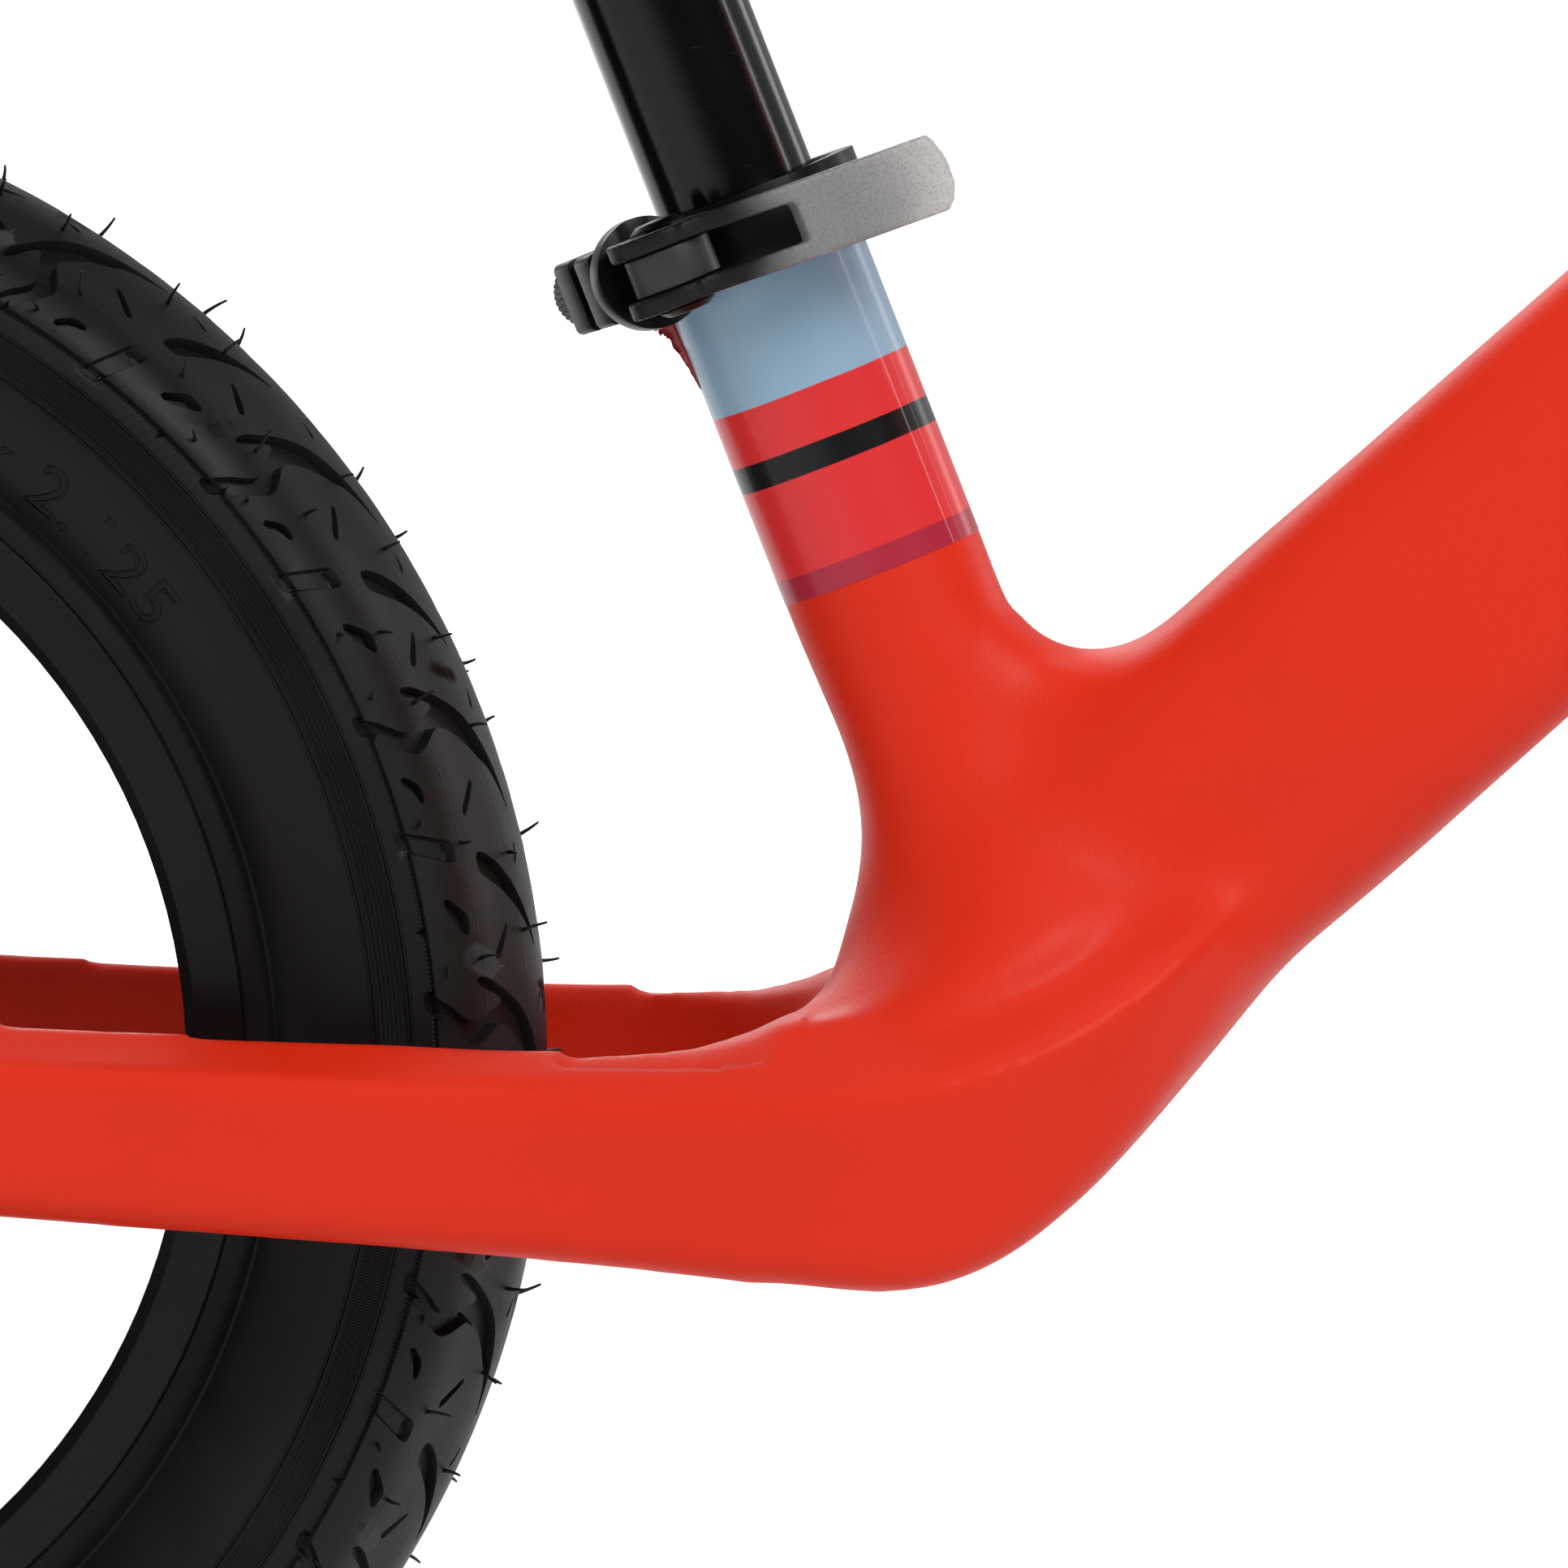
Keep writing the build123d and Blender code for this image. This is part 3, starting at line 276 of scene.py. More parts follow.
class Growth(Nodes):
    """A geometry node tree with named inputs, used once on a piece and then made plain."""

    SOCKETS = {int: "NodeSocketInt", float: "NodeSocketFloat"}

    def __init__(self, name: str) -> None:
        """Makes an empty tree that ends in one mesh.

        Args:
            name: The tree's name.
        """
        super().__init__(bpy.data.node_groups.new(name, "GeometryNodeTree"))
        self.values: dict[str, object] = {}
        face = self.tree.interface
        face.new_socket("Mesh", in_out="OUTPUT", socket_type="NodeSocketGeometry")
        face.new_socket("Mesh", in_out="INPUT", socket_type="NodeSocketGeometry")
        self.entry = self.tree.nodes.new("NodeGroupInput")

    def takes(self, name: str, amount: object) -> Value:
        """Adds a named input with the amount that it will be given.

        Args:
            name: The input's name.
            amount: A number, an object or a material.

        Returns:
            The input, for the tree's own nodes.
        """
        if isinstance(amount, Material):
            kind = "NodeSocketMaterial"
        elif isinstance(amount, Object):
            kind = "NodeSocketObject"
        else:
            kind = self.SOCKETS[type(amount)]
        item = self.tree.interface.new_socket(name, in_out="INPUT", socket_type=kind)
        self.values[item.identifier] = amount
        return Value(self, self.entry.outputs[name])

    def mesh(self) -> Value:
        """The mesh that the tree starts from."""
        return Value(self, self.entry.outputs["Mesh"])

    def end(self, made: Value, material: Value) -> None:
        """Ends the tree in realised geometry with its finish.

        Args:
            made: The geometry.
            material: The input that holds its finish.
        """
        real = self.value("GeometryNodeRealizeInstances", None, {"Geometry": made})
        done = self.value("GeometryNodeSetMaterial", None, {"Geometry": real, "Material": material})
        self.node("NodeGroupOutput", None, {0: done})

    def grow(self, piece: Object) -> None:
        """Runs the tree on a piece and keeps the result as its mesh.

        Args:
            piece: The piece, whose mesh is replaced.
        """
        modifier = piece.modifiers.new("growth", "NODES")
        modifier.node_group = self.tree
        for identifier, amount in self.values.items():
            modifier[identifier] = amount
        freeze(piece)


# --- finishes


@dataclass(frozen=True)
class CastPaint:
    """Satin paint on a cast part, with a faint skin and a little dust in it."""

    name: str = "frame_paint"
    colour: tuple = (228, 45, 16)
    worn: tuple = (214, 40, 15)
    roughness: float = 0.46
    specular: float = 0.22
    skin_depth: float = 0.00006

    def material(self) -> Material:
        """Makes the paint.

        Returns:
            The material.
        """
        s = Surface(self.name)
        place = s.place()
        cloud = s.noise(place, 18, 3)
        grain = s.noise(place, 900, 2)
        peel = s.noise(place, 3200, 1)
        scuff = s.noise(place, 55, 5, (1, 1, 2.2))
        colour = s.blend(cloud.step(0.56, 0.35) * 0.35, tone(*self.colour), tone(*self.worn))
        speck = s.noise(place, 1500, 1).step(0.79, 0.03)
        colour = s.blend(speck * 0.35, colour, tone(236, 84, 54))
        rough = self.roughness + (scuff - 0.5) * 0.16 + (grain - 0.5) * 0.06
        return s.close({
            "Base Color": colour,
            "Roughness": rough,
            "Normal": s.bump(grain + cloud * 0.4 + peel * 0.55, self.skin_depth),
            "Specular IOR Level": self.specular,
        })


@dataclass(frozen=True)
class Moulded:
    """A moulded rubber or plastic with a fine skin."""

    name: str
    colour: tuple
    roughness: float
    grain_scale: float = 1400
    grain_depth: float = 0.00003
    patch: float = 0.12
    specular: float = 0.25
    edge: float = 0.0004

    def material(self) -> Material:
        """Makes the moulded finish.

        Returns:
            The material.
        """
        s = Surface(self.name)
        place = s.place()
        grain = s.noise(place, self.grain_scale, 3)
        cloud = s.noise(place, 30, 4)
        lighter = tuple(min(255, c + 9) for c in self.colour)
        colour = s.blend(cloud.step(0.55, 0.3) * 0.6, tone(*self.colour), tone(*lighter))
        return s.close({
            "Base Color": colour,
            "Roughness": self.roughness + (cloud - 0.5) * self.patch,
            "Normal": s.bump(grain, self.grain_depth, under=s.eased(self.edge)),
            "Specular IOR Level": self.specular,
        })


class Lay(Enum):
    """How a metal was worked last."""

    BLASTED = "blasted"
    TURNED = "turned"
    POLISHED = "polished"


@dataclass(frozen=True)
class Metal:
    """A bare, plated or anodised metal."""

    name: str
    colour: tuple
    roughness: float
    lay: Lay = Lay.POLISHED
    edge: float = 0.0003

    def material(self) -> Material:
        """Makes the metal.

        Returns:
            The material.
        """
        s = Surface(self.name)
        place = s.place()
        cloud = s.noise(place, 60, 4)
        if self.lay is Lay.BLASTED:
            grain, depth, spread = s.noise(place, 2600, 2), 0.00006, 0.10
        elif self.lay is Lay.TURNED:
            grain, depth, spread = s.noise(place, 900, 2, (1, 7, 1)), 0.00002, 0.14
        else:
            grain, depth, spread = s.noise(place, 700, 3), 0.000004, 0.08
        darker = tuple(c * 0.86 for c in self.colour)
        return s.close({
            "Base Color": s.blend(cloud, tone(*self.colour), tone(*darker)),
            "Metallic": 1.0,
            "Roughness": self.roughness + (grain - 0.5) * spread + (cloud - 0.5) * 0.08,
            "Normal": s.bump(grain, depth, under=s.eased(self.edge)),
        })


@dataclass(frozen=True)
class Enamel:
    """Hard dark paint or coating with a clear gloss over it."""

    name: str
    colour: tuple
    roughness: float
    coat: float = 0.2
    coat_roughness: float = 0.15
    scratch: float = 0.2
    edge: float = 0.0003
    specular: float = 0.25

    def material(self) -> Material:
        """Makes the enamel.

        Returns:
            The material.
        """
        s = Surface(self.name)
        place = s.place()
        cloud = s.noise(place, 45, 4)
        hair = s.noise(place, 260, 2, (1, 1, 9)).step(0.72, 0.04)
        lighter = tuple(min(255, c + 26) for c in self.colour)
        return s.close({
            "Base Color": s.blend(hair * self.scratch, tone(*self.colour), tone(*lighter)),
            "Roughness": self.roughness + (cloud - 0.5) * 0.1 + hair * 0.1,
            "Coat Weight": self.coat,
            "Coat Roughness": self.coat_roughness,
            "Normal": s.bump(s.noise(place, 500, 2), 0.000012, under=s.eased(self.edge)),
            "Specular IOR Level": self.specular,
        })


# --- mesh helpers


def new_piece(name: str, mesh: Mesh,
              material: Material | None = None) -> Object:
    """Links a mesh into the scene as an object at the origin.

    Args:
        name: The piece's name.
        mesh: Its mesh, in place.
        material: Its finish, where the mesh has none.

    Returns:
        The new object.
    """
    piece = bpy.data.objects.new(name, mesh)
    bpy.context.scene.collection.objects.link(piece)
    if material is not None:
        finish_in(mesh, material)
    return piece


def mesh_of(name: str, points: np.ndarray, faces: list) -> Mesh:
    """Makes a mesh from points and faces.

    Args:
        name: The mesh's name.
        points: Its points, one row each.
        faces: Each face's point numbers.

    Returns:
        The mesh.
    """
    mesh = bpy.data.meshes.new(name)
    mesh.from_pydata([tuple(p) for p in points], [], [tuple(f) for f in faces])
    mesh.update()
    return mesh


def mesh_from(bm: bmesh.types.BMesh, name: str) -> Mesh:
    """Turns a working mesh into a plain one, and frees it.

    Args:
        bm: The working mesh.
        name: The plain mesh's name.

    Returns:
        The plain mesh.
    """
    mesh = bpy.data.meshes.new(name)
    bm.to_mesh(mesh)
    bm.free()
    return mesh

def finish_in(mesh: Mesh, material: Material) -> None:
    """Gives a mesh one finish."""
    mesh.materials.clear()
    mesh.materials.append(material)

def points_of(mesh: Mesh) -> np.ndarray:
    """A mesh's points, one row each.

    Args:
        mesh: The mesh to read.

    Returns:
        A row of x, y and z for each point.
    """
    points = np.empty(len(mesh.vertices) * 3)
    mesh.vertices.foreach_get("co", points)
    return points.reshape(-1, 3)

def normals_of(mesh: Mesh) -> np.ndarray:
    """The normals at a mesh's points, one row each.

    Args:
        mesh: The mesh to read.

    Returns:
        One normal for each point.
    """
    normals = np.empty(len(mesh.vertices) * 3)
    mesh.vertex_normals.foreach_get("vector", normals)
    return normals.reshape(-1, 3)

def edges_of(mesh: Mesh) -> np.ndarray:
    """A mesh's edges as pairs of point numbers.

    Args:
        mesh: The mesh to read.

    Returns:
        Two point numbers for each edge.
    """
    edges = np.empty(len(mesh.edges) * 2, np.int64)
    mesh.edges.foreach_get("vertices", edges)
    return edges.reshape(-1, 2)

def move_points(mesh: Mesh, points: np.ndarray) -> None:
    """Puts a mesh's points at new places."""
    mesh.vertices.foreach_set("co", points.ravel())
    mesh.update()

def shade(piece: Object, angle: float = 32.0) -> None:
    """Shades a piece smooth, with edges sharper than an angle kept."""
    piece.data.shade_smooth()
    piece.data.set_sharp_from_angle(angle=math.radians(angle))


def freeze(piece: Object) -> None:
    """Turns a piece's modifiers into its plain mesh.

    Args:
        piece: The piece, changed in place.
    """
    bpy.context.view_layer.update()
    evaluated = piece.evaluated_get(bpy.context.evaluated_depsgraph_get())
    mesh = bpy.data.meshes.new_from_object(evaluated)
    piece.modifiers.clear()
    piece.data = mesh


def outward(mesh: Mesh, gap: float = 1e-6) -> None:
    """Merges a mesh's doubles and points its faces outwards.

    Args:
        mesh: The mesh, changed in place.
        gap: Points nearer than this become one.
    """
    bm = bmesh.new()
    bm.from_mesh(mesh)
    bmesh.ops.remove_doubles(bm, verts=bm.verts, dist=gap)
    bmesh.ops.recalc_face_normals(bm, faces=bm.faces)
    bm.to_mesh(mesh)
    bm.free()


def merged_copy(node: str) -> bmesh.types.BMesh:
    """A node's own shape with its loose triangles joined.

    Args:
        node: The node's name.

    Returns:
        A working mesh.
    """
    bm = bmesh.new()
    bm.from_mesh(frame["nodes"][node].data)
    bmesh.ops.remove_doubles(bm, verts=bm.verts, dist=2e-6)
    return bm


def eased_copy(node: str, radius: float, material: Material, angle: float = 28.0,
               steps: int = 3) -> Object:
    """A node's shape as a piece whose sharp edges are rounded.

    Args:
        node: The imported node.
        radius: How far the rounding reaches from each edge.
        material: The finish.
        angle: Edges that turn by less than this stay as they are.
        steps: Facets across the rounding.

    Returns:
        The new piece, which is not yet on a body.
    """
    bm = merged_copy(node)
    bmesh.ops.dissolve_limit(bm, angle_limit=math.radians(0.8), verts=bm.verts, edges=bm.edges)
    sharp = [e for e in bm.edges if e.is_manifold and e.calc_face_angle(0) > math.radians(angle)]
    bmesh.ops.bevel(bm, geom=sharp, offset=radius, segments=steps, profile=0.5, affect="EDGES",
                    clamp_overlap=True, harden_normals=False)
    piece = new_piece(node + "_dressed", mesh_from(bm, node + "_shape"), material)
    shade(piece, 40)
    return piece


def neighbours_mean(points: np.ndarray, edges: np.ndarray, degree: np.ndarray) -> np.ndarray:
    """Each point's mean over its neighbours.

    Args:
        points: Points, one row each.
        edges: Pairs of point numbers.
        degree: How many edges meet at each point.

    Returns:
        One mean for each point.
    """
    total = np.empty_like(points)
    for k in range(3):
        total[:, k] = np.bincount(edges[:, 0], points[edges[:, 1], k], len(points))
        total[:, k] += np.bincount(edges[:, 1], points[edges[:, 0], k], len(points))
    return total / degree[:, None]


def relaxed(points: np.ndarray, edges: np.ndarray, rounds: int) -> np.ndarray:
    """Points after a number of rounds of smoothing.

    Args:
        points: The mesh's points.
        edges: Its edges as pairs of point numbers.
        rounds: How many times each point moves half way to its neighbours.

    Returns:
        The moved points.
    """
    degree = np.bincount(edges.ravel(), minlength=len(points)).astype(float)
    degree[degree == 0] = 1
    moved = points.copy()
    for _ in range(rounds):
        moved += 0.5 * (neighbours_mean(moved, edges, degree) - moved)
    return moved


def low_pass(points: np.ndarray, edges: np.ndarray, rounds: int) -> np.ndarray:
    """Smooths points and gives back most of the shrinkage."""
    once = relaxed(points, edges, rounds)
    return 2 * once - relaxed(once, edges, rounds)


def soft_ends(share: np.ndarray) -> np.ndarray:
    """A share from 0 to 1 that starts and ends softly."""
    return share * share * (3 - 2 * share)

def evened(loop: np.ndarray, rounds: int) -> np.ndarray:
    """A closed loop of points after some rounds of smoothing.

    Args:
        loop: The loop's points.
        rounds: How many rounds.

    Returns:
        The smoothed points.
    """
    for _ in range(rounds):
        loop = (np.roll(loop, 1, 0) + 2 * loop + np.roll(loop, -1, 0)) / 4
    return loop

def turned(name: str, profile: list[tuple[float, float]], steps: int, matrix: Matrix,
           loop: bool = False) -> Mesh:
    """Turns a profile of radius and height round an axis.

    Args:
        name: The mesh's name.
        profile: Pairs of radius and height, from foot to top, in metres.
        steps: Facets round the turn.
        matrix: Puts the turned shape, whose axis is Z, in place.
        loop: Whether the profile closes on itself away from the axis.

    Returns:
        The mesh, with its faces outwards.
    """
    turn = np.linspace(0, 2 * math.pi, steps, endpoint=False)
    points = np.array([(r * math.cos(a), r * math.sin(a), z) for r, z in profile for a in turn])
    faces = []
    rings = len(profile)
    for i in range(rings if loop else rings - 1):
        j = (i + 1) % rings
        for k in range(steps):
            n = (k + 1) % steps
            faces.append((i * steps + k, i * steps + n, j * steps + n, j * steps + k))
    mesh = mesh_of(name, points, faces)
    mesh.transform(matrix)
    outward(mesh, 2e-6)
    mesh.shade_smooth()
    mesh.set_sharp_from_angle(angle=math.radians(35))
    return mesh


def joined(name: str, *meshes: Mesh) -> Mesh:
    """Several meshes as one, without materials.

    Args:
        name: The joined mesh's name.
        meshes: The meshes to join.

    Returns:
        The joined mesh.
    """
    bm = bmesh.new()
    for mesh in meshes:
        bm.from_mesh(mesh)
    return mesh_from(bm, name)


@dataclass(frozen=True)
class Line:
    """An axis in space."""

    origin: Vector
    axis: Vector

    def off(self, points: np.ndarray) -> tuple[np.ndarray, np.ndarray, np.ndarray]:
        """Each point's place along the line, its foot on it, and its distance from it.

        Args:
            points: Points, one row each.

        Returns:
            The places, the feet and the distances.
        """
        origin, axis = np.array(self.origin), np.array(self.axis)
        along = (points - origin) @ axis
        foot = origin + along[:, None] * axis
        return along, foot, np.linalg.norm(points - foot, axis=1)

    def matrix(self) -> Matrix:
        """The line's own frame: Z along it, Y across the bicycle.

        Returns:
            The frame as a matrix.
        """
        z = self.axis.normalized()
        y = Vector((0, 1, 0))
        x = y.cross(z).normalized()
        y = z.cross(x)
        turned = Matrix((x, y, z)).transposed().to_4x4()
        turned.translation = self.origin
        return turned


def seat_line() -> Line:
    """The seat tube's axis, upwards, from the middle of the clamp.

    Returns:
        The axis.
    """
    axis = Vector(JOINTS["seat_height"]["axis"]).normalized()
    low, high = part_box("seat_post")
    middle = (low + high) / 2
    pivot = Vector(JOINTS["lever_swing"]["pos_m"])
    return Line(middle + axis * (pivot - middle).dot(axis), axis)


# --- studio


@dataclass
class Viewpoint:
    """The camera, a long lens at the rider's right."""

    place: tuple = (0.2955, -3.177, 0.540)
    pan: float = 7.0
    dip: float = 6.16
    lens: float = 480.45
    sensor: float = 36.0

    def build(self) -> None:
        """Adds the camera and makes it the scene's."""
        data = bpy.data.cameras.new("camera")
        data.lens = self.lens
        data.sensor_width = self.sensor
        data.clip_start = 0.05
        data.clip_end = 200
        camera = bpy.data.objects.new("camera", data)
        pan, dip = math.radians(self.pan), math.radians(self.dip)
        forward = Vector((-math.sin(pan) * math.cos(dip), math.cos(pan) * math.cos(dip), -math.sin(dip)))
        camera.location = self.place
        camera.rotation_mode = "QUATERNION"
        camera.rotation_quaternion = forward.to_track_quat("-Z", "Y")
        bpy.context.scene.collection.objects.link(camera)
        bpy.context.scene.camera = camera


@dataclass
class Studio:
    """A pale floor, a white surround and soft lamps."""

    floor_half: float = 40.0
    ambient: float = 0.58
    floor_glow: float = 0.16
    far_glow: float = 0.75
    glow_edge: tuple = (1.25, 1.5)
    sweep_edge: tuple = (-0.15, 0.5)
    world_edge: tuple = (0.12, 0.5)
    room: float = 0.12
    sweep: float = 0.6
    lamps: tuple = (
        ("key", (1.5, -1.9, 2.3), (1.7, 1.3), 48),
        ("fill", (-2.2, -1.9, 1.3), (1.4, 1.6), 12),
        ("top", (-0.3, 0.7, 2.8), (2.2, 2.0), 30),
        ("back", (-1.2, 2.6, 1.5), (1.8, 1.2), 18),
        ("strip", (2.6, 0.35, 1.1), (0.26, 1.8), 12),
        ("edge", (1.75, 1.95, 0.9), (0.5, 1.6), 7),
    )
    aim: tuple = (-0.05, 0.0, 0.2)
    soft: tuple = ("fill",)
    gleam: tuple = ("strip", "edge")

    def build(self) -> None:
        """Builds the whole studio."""
        self.floor()
        self.world()
        for name, place, size, power in self.lamps:
            self.lamp(name, place, size, power)
        bpy.context.scene.view_settings.view_transform = "Standard"

    def floor(self) -> None:
        """A very large pale sheet that keeps the shadow."""
        h = self.floor_half
        mesh = mesh_of("floor", np.array([(-h, -h, 0), (h, -h, 0), (h, h, 0), (-h, h, 0)]), [(0, 1, 2, 3)])
        s = Surface("floor_paper")
        seen, mirrored = s.rays()
        behind = s.parts(s.place())[1].step(*self.sweep_edge)
        glow_share = seen.maths("MAXIMUM", mirrored * behind)
        away = s.value("ShaderNodeVectorMath", {"operation": "LENGTH"}, {0: s.place()}, "Value")
        strength = glow_share * (away.step(*self.glow_edge) * self.far_glow + self.floor_glow)
        paper = s.node("ShaderNodeBsdfDiffuse", None, {"Color": tone(230, 230, 230)})
        glow = s.node("ShaderNodeEmission", None, {"Color": tone(255, 255, 255), "Strength": strength})
        both = s.node("ShaderNodeAddShader", None, {0: paper.outputs[0], 1: glow.outputs[0]})
        s.node("ShaderNodeOutputMaterial", None, {"Surface": both.outputs[0]})
        new_piece("floor", mesh, s.material)

    def world(self) -> None:
        """White to the eye, a white sweep behind in gloss, and plain soft light."""
        world = bpy.data.worlds.new("surround")
        world.use_nodes = True
        bpy.context.scene.world = world
        world.node_tree.nodes.clear()
        n = Nodes(world.node_tree)
        seen, mirrored = n.rays()
        direction = n.value("ShaderNodeTexCoord", output="Generated")
        behind = n.parts(direction)[1].step(*self.world_edge)
        room = behind * (self.sweep - self.room) + self.room
        strength = (1 - mirrored) * self.ambient + mirrored * room
        strength = seen + (1 - seen) * strength
        glow = n.node("ShaderNodeBackground", None, {"Strength": strength})
        n.node("ShaderNodeOutputWorld", None, {0: glow.outputs[0]})

    def lamp(self, name: str, place: tuple, size: tuple, power: float) -> None:
        """Adds one soft box aimed at the bicycle.

        Args:
            name: The lamp's name.
            place: Where it stands.
            size: Its width and height.
            power: Its power in watts.
        """
        data = bpy.data.lights.new(name, "AREA")
        data.shape = "RECTANGLE"
        data.size, data.size_y = size
        data.energy = power
        lamp = bpy.data.objects.new(name, data)
        lamp.location = place
        lamp.rotation_mode = "QUATERNION"
        lamp.rotation_quaternion = (Vector(self.aim) - Vector(place)).to_track_quat("-Z", "Y")
        lamp.visible_camera = False
        lamp.visible_glossy = name not in self.soft
        lamp.visible_diffuse = name not in self.gleam
        bpy.context.scene.collection.objects.link(lamp)


# --- frame


@dataclass
class FrameSkin:
    """The cast frame with its edges and junctions flowing into each other."""

    voxel: float = 1.45 * MM
    rough_voxel: float = 2.0 * MM
    fillet: float = 9 * MM
    sink: float = 0.12 * MM
    fade_sink: float = 3.4 * MM
    fade_start: float = 46 * MM
    ball_radius: float = 76 * MM
    light_rounds: int = 7
    deep_rounds: int = 160
    middle_rounds: int = 40
    inner_side: tuple = (21 * MM, 33 * MM)
    horn: float = 60 * MM
    horn_reach: float = 24 * MM
    horn_depth: float = 45 * MM
    outer_share: float = 0.12
    web_fillet: float = 14 * MM
    web_reach: float = 27 * MM
    web_back: float = 38 * MM
    tops: tuple = (-128 * MM, -85.4 * MM)
    top_slope: float = 0.03
    top_head: float = 166.3 * MM
    top_power: float = 4.2
    top_sides: tuple = (22 * MM, 42 * MM)
    top_ceiling: float = 190 * MM
    tube_radius: float = 15.9 * MM
    true_tube: float = 80 * MM
    tube_fade: float = 22 * MM
    tube_catch: float = 1.4 * MM
    tube_soft: float = 0.9 * MM
    junction_down: float = 112 * MM
    junction_reach: float = 58 * MM
    junction_fade: float = 36 * MM

    def build(self, paint: Material) -> Object:
        """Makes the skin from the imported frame's own shape.

        Args:
            paint: The frame's finish.

        Returns:
            The piece that stands for the frame.
        """
        mesh = mesh_from(merged_copy("frame"), "frame_skin")
        skin = new_piece("frame_skin", mesh)
        filled = self.filled(mesh.copy(), self.junction(), self.fillet, self.ball_radius, self.fade_start)
        web = self.junction() - Vector((self.web_back, 0, 0))
        gusset = self.filled(mesh.copy(), web, self.web_fillet, self.web_reach, self.web_reach * 0.45)
        skin.data = joined("frame_skin", mesh, joined("fillets", filled, gusset))
        self.remesh(skin, self.voxel)
        self.fair(skin.data)
        finish_in(skin.data, paint)
        skin.data.shade_smooth()
        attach(skin, "chassis")
        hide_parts("frame")
        return skin

    @staticmethod
    def remesh(skin: Object, voxel: float) -> None:
        """Rebuilds the skin's mesh as even small faces.

        Args:
            skin: The piece to rebuild.
            voxel: The new faces' size.
        """
        remesh = skin.modifiers.new("remesh", "REMESH")
        remesh.mode = "VOXEL"
        remesh.voxel_size = voxel
        freeze(skin)

    def filled(self, mesh: Mesh, middle: Vector, fillet: float, reach: float,
               start: float) -> Mesh:
        """A part of the frame with its hollow edges filled, cut out as a ball.

        Args:
            mesh: A copy of the whole frame.
            middle: The ball's middle.
            fillet: The radius that fills the hollow edges.
            reach: The ball's radius.
            start: How far from the middle the filling begins to sink into the frame.

        Returns:
            A closed mesh that adds the fillets when it is joined to the frame.
        """
        body = new_piece("junction", mesh)
        for step in (fillet, -fillet - self.sink):
            self.remesh(body, self.rough_voxel)
            self.swell(body.data, step)
        self.fade(body.data, middle, start, reach)
        ball = bmesh.new()
        bmesh.ops.create_icosphere(ball, subdivisions=5, radius=reach, matrix=Matrix.Translation(middle))
        cutter = new_piece("ball", mesh_from(ball, "ball"))
        cut = body.modifiers.new("cut", "BOOLEAN")
        cut.operation = "INTERSECT"
        cut.solver = "FAST"
        cut.object = cutter
        freeze(body)
        filled = body.data
        bpy.data.objects.remove(body)
        bpy.data.objects.remove(cutter)
        return filled

    @staticmethod
    def swell(mesh: Mesh, reach: float) -> None:
        """Moves a surface along its normals."""
        move_points(mesh, points_of(mesh) + normals_of(mesh) * reach)

    def fade(self, mesh: Mesh, middle: Vector, start: float, reach: float) -> None:
        """Lets the filling sink into the frame towards the ball's edge.

        Args:
            mesh: The filling.
            middle: The ball's middle.
            start: How far from it the sinking begins.
            reach: The ball's radius.
        """
        points = points_of(mesh)
        away = np.linalg.norm(points - np.array(middle), axis=1)
        share = np.clip((away - start) / (reach - start), 0, 1)
        move_points(mesh, points - normals_of(mesh) * (self.fade_sink * share ** 2)[:, None])

    def junction(self) -> Vector:
        """The middle of the junction of tube, beam and stays."""
        line = seat_line()
        return line.origin - line.axis * self.junction_down

    def fair(self, mesh: Mesh) -> None:
        """Smooths the whole skin lightly and the junction deeply.

        Args:
            mesh: The skin's mesh, changed in place.
        """
        edges = edges_of(mesh)
        light = low_pass(points_of(mesh), edges, self.light_rounds)
        deep = low_pass(light, edges, self.deep_rounds)
        share = self.junction_share(light)[:, None]
        middle = low_pass(light, edges, self.middle_rounds)
        horn = self.horn_share(light)[:, None]
        moved = light * (1 - horn) + middle * horn
        moved = moved * (1 - share) + deep * share
        self.even_tops(moved)
        along, foot, reach = seat_line().off(moved)
        held = np.clip((along + self.true_tube) / self.tube_fade, 0, 1)
        held *= np.clip((self.tube_catch - np.abs(reach - self.tube_radius)) / self.tube_soft, 0, 1)
        held = soft_ends(held)
        scale = 1 + held * (self.tube_radius / np.maximum(reach, 1e-9) - 1)
        move_points(mesh, foot + (moved - foot) * scale[:, None])

    def even_tops(self, points: np.ndarray) -> None:
        """Gives the stays' top edges one even line that rises into the web.

        Args:
            points: The skin's points, changed in place.
        """
        x, y, z = points.T
        first, last = self.tops
        inner, outer = self.top_sides
        edge = (np.abs(y) > inner) & (np.abs(y) < outer) & (z < self.top_ceiling)
        edge &= (x > first - 20 * MM) & (x < last + 8 * MM)
        bins = np.arange(first - 16 * MM, last + 6 * MM, 1 * MM)
        tops = np.array([z[edge & (np.abs(x - b) < 1.5 * MM)].max() for b in bins])
        share = np.clip((bins - first) / (last - first), 0, None)
        foot = np.interp(first, bins, tops)
        rise = self.top_head - foot - self.top_slope * (last - first)
        line = foot + self.top_slope * (bins - first) + rise * share ** self.top_power
        shift = np.where(bins > first, line - tops, 0)
        ease = np.clip((last + 5 * MM - bins) / (8 * MM), 0, 1)
        log.info("stay tops: shift %.1f to %.1f mm", shift.min() / MM, shift.max() / MM)
        top = np.interp(x, bins, tops)
        depth = np.clip((z - top + 15 * MM) / (10 * MM), 0, 1)
        depth = soft_ends(depth * np.clip((top + 14 * MM - z) / (9 * MM), 0, 1))
        near = (x > bins[0]) & (x < bins[-1]) & (np.abs(y) < 48 * MM)
        points[:, 2] += near * depth * np.interp(x, bins, shift * ease)

